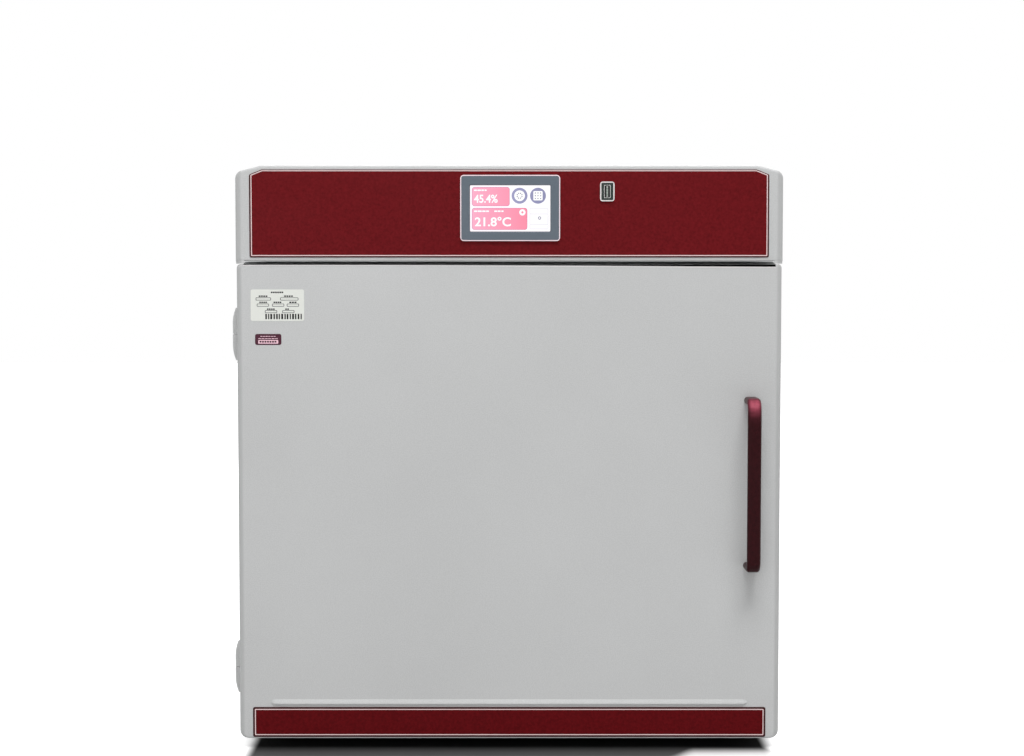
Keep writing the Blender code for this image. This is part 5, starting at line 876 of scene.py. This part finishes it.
def rating_label():
    """The white label: rows of short bars, boxed fields and a row of upright bars."""
    left, right, low, high = label_at(*RATING_LABEL)
    step_x, step_z = (right - left) / RATING_GRID[0], (high - low) / RATING_GRID[1]

    def on_label(start, end, top, foot, radius):
        """A rounded rectangle on the label's grid."""
        return rectangle(
            left + start * step_x, left + end * step_x, high - foot * step_z, high - top * step_z, radius, 1
        )

    paper = FRONT - 2 * PRINT
    sheet = rectangle(left, right, low, high, RATING_RADIUS)
    plates("rating_label", [[sheet]], FRONT, paper, LABEL_WHITE, DOOR)
    marks = []
    for start, top, width in MARK_ROWS:
        count = max(int(width / MARK_PITCH), 1)
        for number in range(count):
            at = start + number * width / count
            marks.append([on_label(at, at + width / count - MARK_GAP, top, top + MARK_HEIGHT, MARK_RADIUS)])
    layer("rating_label_marks", marks, paper, LABEL_BLACK, DOOR)
    fields = []
    for start, end, top, foot in FIELD_BOXES:
        outer = on_label(start, end, top, foot, FIELD_OUTER_RADIUS)
        inner = on_label(
            start + FIELD_LINE_ACROSS, end - FIELD_LINE_ACROSS, top + FIELD_LINE_DOWN, foot - FIELD_LINE_DOWN,
            FIELD_INNER_RADIUS,
        )
        fields.append([outer, inner])
    layer("rating_label_fields", fields, paper, LABEL_GREY, DOOR)
    bars = []
    at = BAR_START
    for number in range(BAR_COUNT):
        width = BAR_WIDTHS[number % len(BAR_WIDTHS)]
        bars.append([on_label(at, at + width, BAR_TOP, BAR_FOOT, BAR_RADIUS)])
        at += width + BAR_GAPS[number % len(BAR_GAPS)]
    layer("rating_label_bars", bars, paper, LABEL_BLACK, DOOR)


def small_label():
    """The small maroon label: two rows of bars and a pale field with marks."""
    left, right, low, high = label_at(*SMALL_LABEL)
    width, height = right - left, high - low
    paper = FRONT - 2 * PRINT
    sheet = rectangle(left, right, low, high, SMALL_RADIUS)
    plates("small_label", [[sheet]], FRONT, paper, LABEL_MAROON, DOOR)
    start, end, foot, top = SMALL_FIELD
    field = rectangle(
        left + width * start, left + width * end, low + height * foot, low + height * top,
        SMALL_FIELD_RADIUS, 3,
    )
    layer("small_label_field", [[field]], paper, LABEL_ROSE, DOOR)
    bars = []
    for start, end, level in SMALL_ROWS:
        each = width * (end - start) / SMALL_BARS
        foot, top = low + height * level - SMALL_HALF_LINE, low + height * level + SMALL_HALF_LINE
        for number in range(SMALL_BARS):
            x = left + width * start + each * number
            bars.append([rectangle(x, x + each - SMALL_BAR_GAP, foot, top, SMALL_MARK_RADIUS, 1)])
    layer("small_label_lines", bars, paper, LABEL_ROSE, DOOR)
    marks = []
    for number in range(SMALL_MARKS):
        x = left + width * (SMALL_MARK_START + SMALL_MARK_PITCH * number)
        foot, top = low + height * SMALL_MARK_FOOT, low + height * SMALL_MARK_TOP
        marks.append([rectangle(x, x + width * SMALL_MARK_WIDTH, foot, top, SMALL_MARK_RADIUS, 1)])
    layer("small_label_marks", marks, paper, LABEL_MAROON, DOOR, 1)


def screw_heads(name, places, radius, height, normal, body):
    """Pan heads with a cross recess, at places on a face, which look along its normal."""
    turn = Vector(normal).to_track_quat("Z", "Y")
    angles = [2 * math.pi * side / SCREW_SIDES for side in range(SCREW_SIDES)]
    rings = [[point] * SCREW_SIDES for point in SCREW_PROFILE]
    for on_arm, between_arms in SCREW_RECESS:
        rings.append([on_arm if abs(math.cos(2 * a)) > SCREW_ARM else between_arms for a in angles])
    bm = bmesh.new()
    for place in places:
        rows = []
        for ring in rings:
            row = []
            for angle, (share, up) in zip(angles, ring):
                reach = radius * share
                point = Vector((reach * math.cos(angle), reach * math.sin(angle), height * up))
                row.append(bm.verts.new(Vector(place) + turn @ point))
            rows.append(row)
        for low, high in zip(rows, rows[1:]):
            for side in range(SCREW_SIDES):
                other = (side + 1) % SCREW_SIDES
                bm.faces.new((low[side], low[other], high[other], high[side]))
        bm.faces.new(rows[0][::-1])
        bm.faces.new(rows[-1])
    linked(name, mesh_of(name, bm), SCREW, body, smooth=30.0)


def rear_screws():
    """The screws at the back: of the rear panel, the fan guard and the hood."""
    rear, backwards = REAR_HIGH[1], (0, 1, 0)
    width, height = REAR_HIGH[0] - REAR_LOW[0], REAR_HIGH[2] - REAR_LOW[2]
    places = []
    for share in REAR_ROW_SHARES:
        for z in (REAR_LOW[2] + REAR_SCREW_MARGIN, REAR_HIGH[2] - REAR_SCREW_MARGIN):
            places.append((REAR_LOW[0] + width * share, rear, z))
    for share in REAR_SIDE_SHARES:
        for x in (REAR_LOW[0] + REAR_SCREW_MARGIN, REAR_HIGH[0] - REAR_SCREW_MARGIN):
            places.append((x, rear, REAR_LOW[2] + height * share))
    screw_heads("rear_screws", places, REAR_SCREW, HEAD_HEIGHT, backwards, CABINET)
    x, z = (GUARD_LOW[0] + GUARD_HIGH[0]) / 2, (GUARD_LOW[2] + GUARD_HIGH[2]) / 2
    out = FAN_SCREW_FROM_MIDDLE
    places = [(x + side * out, rear, z + row * out) for side in (-1, 1) for row in (-1, 1)]
    screw_heads("fan_screws", places, FAN_SCREW, HEAD_HEIGHT, backwards, CABINET)
    width, z = HOOD_HIGH[0] - HOOD_LOW[0], HOOD_LOW[2] + HOOD_SCREW_RISE
    places = [(HOOD_LOW[0] + width * share, HOOD_HIGH[1], z) for share in HOOD_SCREW_SHARES]
    screw_heads("hood_screws", places, HOOD_SCREW, HEAD_HEIGHT, backwards, CABINET)


def hinge_screws():
    """Two screws in each hinge leaf, on the cabinet's left side and the door's."""
    leaf_x = BODY_LOW[0] - HINGE_LEAF
    for place in ("upper", "lower"):
        split_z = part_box(f"hinge_{place}_door_half")[0][2]
        for kind, body, way in (("door_half", DOOR, -1), ("cabinet_half", CABINET, 1)):
            half_low, half_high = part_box(f"hinge_{place}_{kind}")
            free_end = half_low[1] if body == DOOR else half_high[1]
            axis_y = free_end - way * HINGE_AXIS_FROM_END
            z = split_z - way * HINGE_SCREW_FROM_SPLIT
            places = [(leaf_x, axis_y + way * reach, z) for reach in HINGE_SCREW_REACHES]
            name = f"hinge_{place}_{kind}_screws"
            screw_heads(name, places, HINGE_SCREW, HINGE_HEAD_HEIGHT, (-1, 0, 0), body)


def pale_floor():
    """Pale floor with a painted shadow, darkest under the body; far off the camera sees plain white."""
    g = Finish("pale_floor")
    place = g.axes()
    middle_y, half_depth = (FRONT + BODY_HIGH[1]) / 2, (BODY_HIGH[1] - FRONT) / 2
    from_middle = g.maths("SUBTRACT", place["X"], MIDDLE_X)
    past_side = g.stepped(
        g.maths("ABSOLUTE", from_middle), HALF_WIDTH + SHADE_SIDE[0], HALF_WIDTH + SHADE_SIDE[1]
    )
    behind = g.stepped(place["Y"], middle_y, middle_y + SHADE_BEHIND_RUN, 0.0, SHADE_BEHIND)
    out_y = g.maths("ADD", g.maths("ABSOLUTE", g.maths("SUBTRACT", place["Y"], middle_y)), behind)
    front_fade = (half_depth + SHADE_FRONT[0], half_depth + SHADE_FRONT[1])
    shorter = g.stepped(from_middle, *SHADE_RIGHT, 0.0, SHADE_RIGHT_SHORTER)
    clear = g.maths("MAXIMUM", past_side, g.stepped(g.maths("ADD", out_y, shorter), *front_fade))
    open_floor = g.maths("MAXIMUM", past_side, g.stepped(out_y, *front_fade))
    # Painted shadow: a dark base colour under and before the body, on top of the lamps' real shadow
    core = g.stepped(out_y, half_depth + SHADE_CORE[0], half_depth + SHADE_CORE[1])
    dark = g.between(core, (0.008, 0.008, 0.008), (0.072, 0.072, 0.073), 0.0, 1.0)
    shown = g.blended(clear, dark, (0.9, 0.9, 0.9))
    pale = g.between(g.noise(1.2, 2.0), (0.44, 0.44, 0.44), (0.48, 0.48, 0.48))
    seen = g.seen()
    far = g.node("ShaderNodeVectorMath", operation="LENGTH")
    g.feed(g.place, far.inputs[0])
    lift = g.stepped(far.outputs["Value"], *WHITE_OUT, FLOOR_LIFT, 1.0)
    glow = g.maths("MULTIPLY", g.maths("MULTIPLY", lift, open_floor), seen)
    g.set(Base_Color=g.blended(seen, pale, shown), Roughness=0.8, Specular_IOR_Level=0.05)
    g.set(Emission_Color=(*WHITE, 1.0), Emission_Strength=glow)
    return g.material


def studio_floor():
    """The floor, as one square far wider than the picture."""
    bm = bmesh.new()
    corners = ((-1, -1), (1, -1), (1, 1), (-1, 1))
    bm.faces.new([bm.verts.new((x * FLOOR_REACH, y * FLOOR_REACH, 0.0)) for x, y in corners])
    mesh = mesh_of("studio_floor", bm)
    mesh.materials.append(pale_floor())
    floor = bpy.data.objects.new("studio_floor", mesh)
    bpy.context.scene.collection.objects.link(floor)


def studio_world():
    """White where the camera sees it, and a plain soft light from above on the object."""
    world = bpy.data.worlds.new("studio")
    bpy.context.scene.world = world
    world.use_nodes = True
    g = Graph(world.node_tree)
    up = g.axes(g.coordinates.outputs["Generated"])["Z"]
    ambient = g.mapped(up, *AMBIENT_SPAN, AMBIENT_LOW, AMBIENT_HIGH)
    background = g.tree.nodes["Background"]
    g.feed((*WHITE, 1.0), background.inputs["Color"])
    g.feed(g.mapped(g.seen(), 0.0, 1.0, ambient, 1.0), background.inputs["Strength"])


def softbox(name, place, target, width, height, watts):
    """A rectangular lamp that looks at a target."""
    light = bpy.data.lights.new(name, "AREA")
    light.shape = "RECTANGLE"
    light.size, light.size_y = width, height
    light.energy = watts
    lamp = bpy.data.objects.new(name, light)
    lamp.location = place
    lamp.rotation_euler = (Vector(target) - Vector(place)).to_track_quat("-Z", "Y").to_euler()
    bpy.context.scene.collection.objects.link(lamp)


def studio_camera():
    """The camera, at the photograph's viewing angle."""
    camera_data = bpy.data.cameras.new("camera")
    camera_data.sensor_width = SENSOR
    camera_data.lens = LENS
    camera = bpy.data.objects.new("camera", camera_data)
    camera.location = CAMERA_PLACE
    camera.rotation_euler = Euler((math.radians(90.0 - CAMERA_PITCH), 0.0, 0.0))
    bpy.context.scene.collection.objects.link(camera)
    bpy.context.scene.camera = camera
    bpy.context.scene.view_settings.view_transform = "Standard"


finish_nodes()
film_prints()
door_lip()
bezel_line()
readings()
touch_keys()
screen_table()
data_socket()
rating_label()
small_label()
rear_screws()
hinge_screws()
studio_floor()
studio_world()
for lamp_values in LAMPS:
    softbox(*lamp_values)
studio_camera()
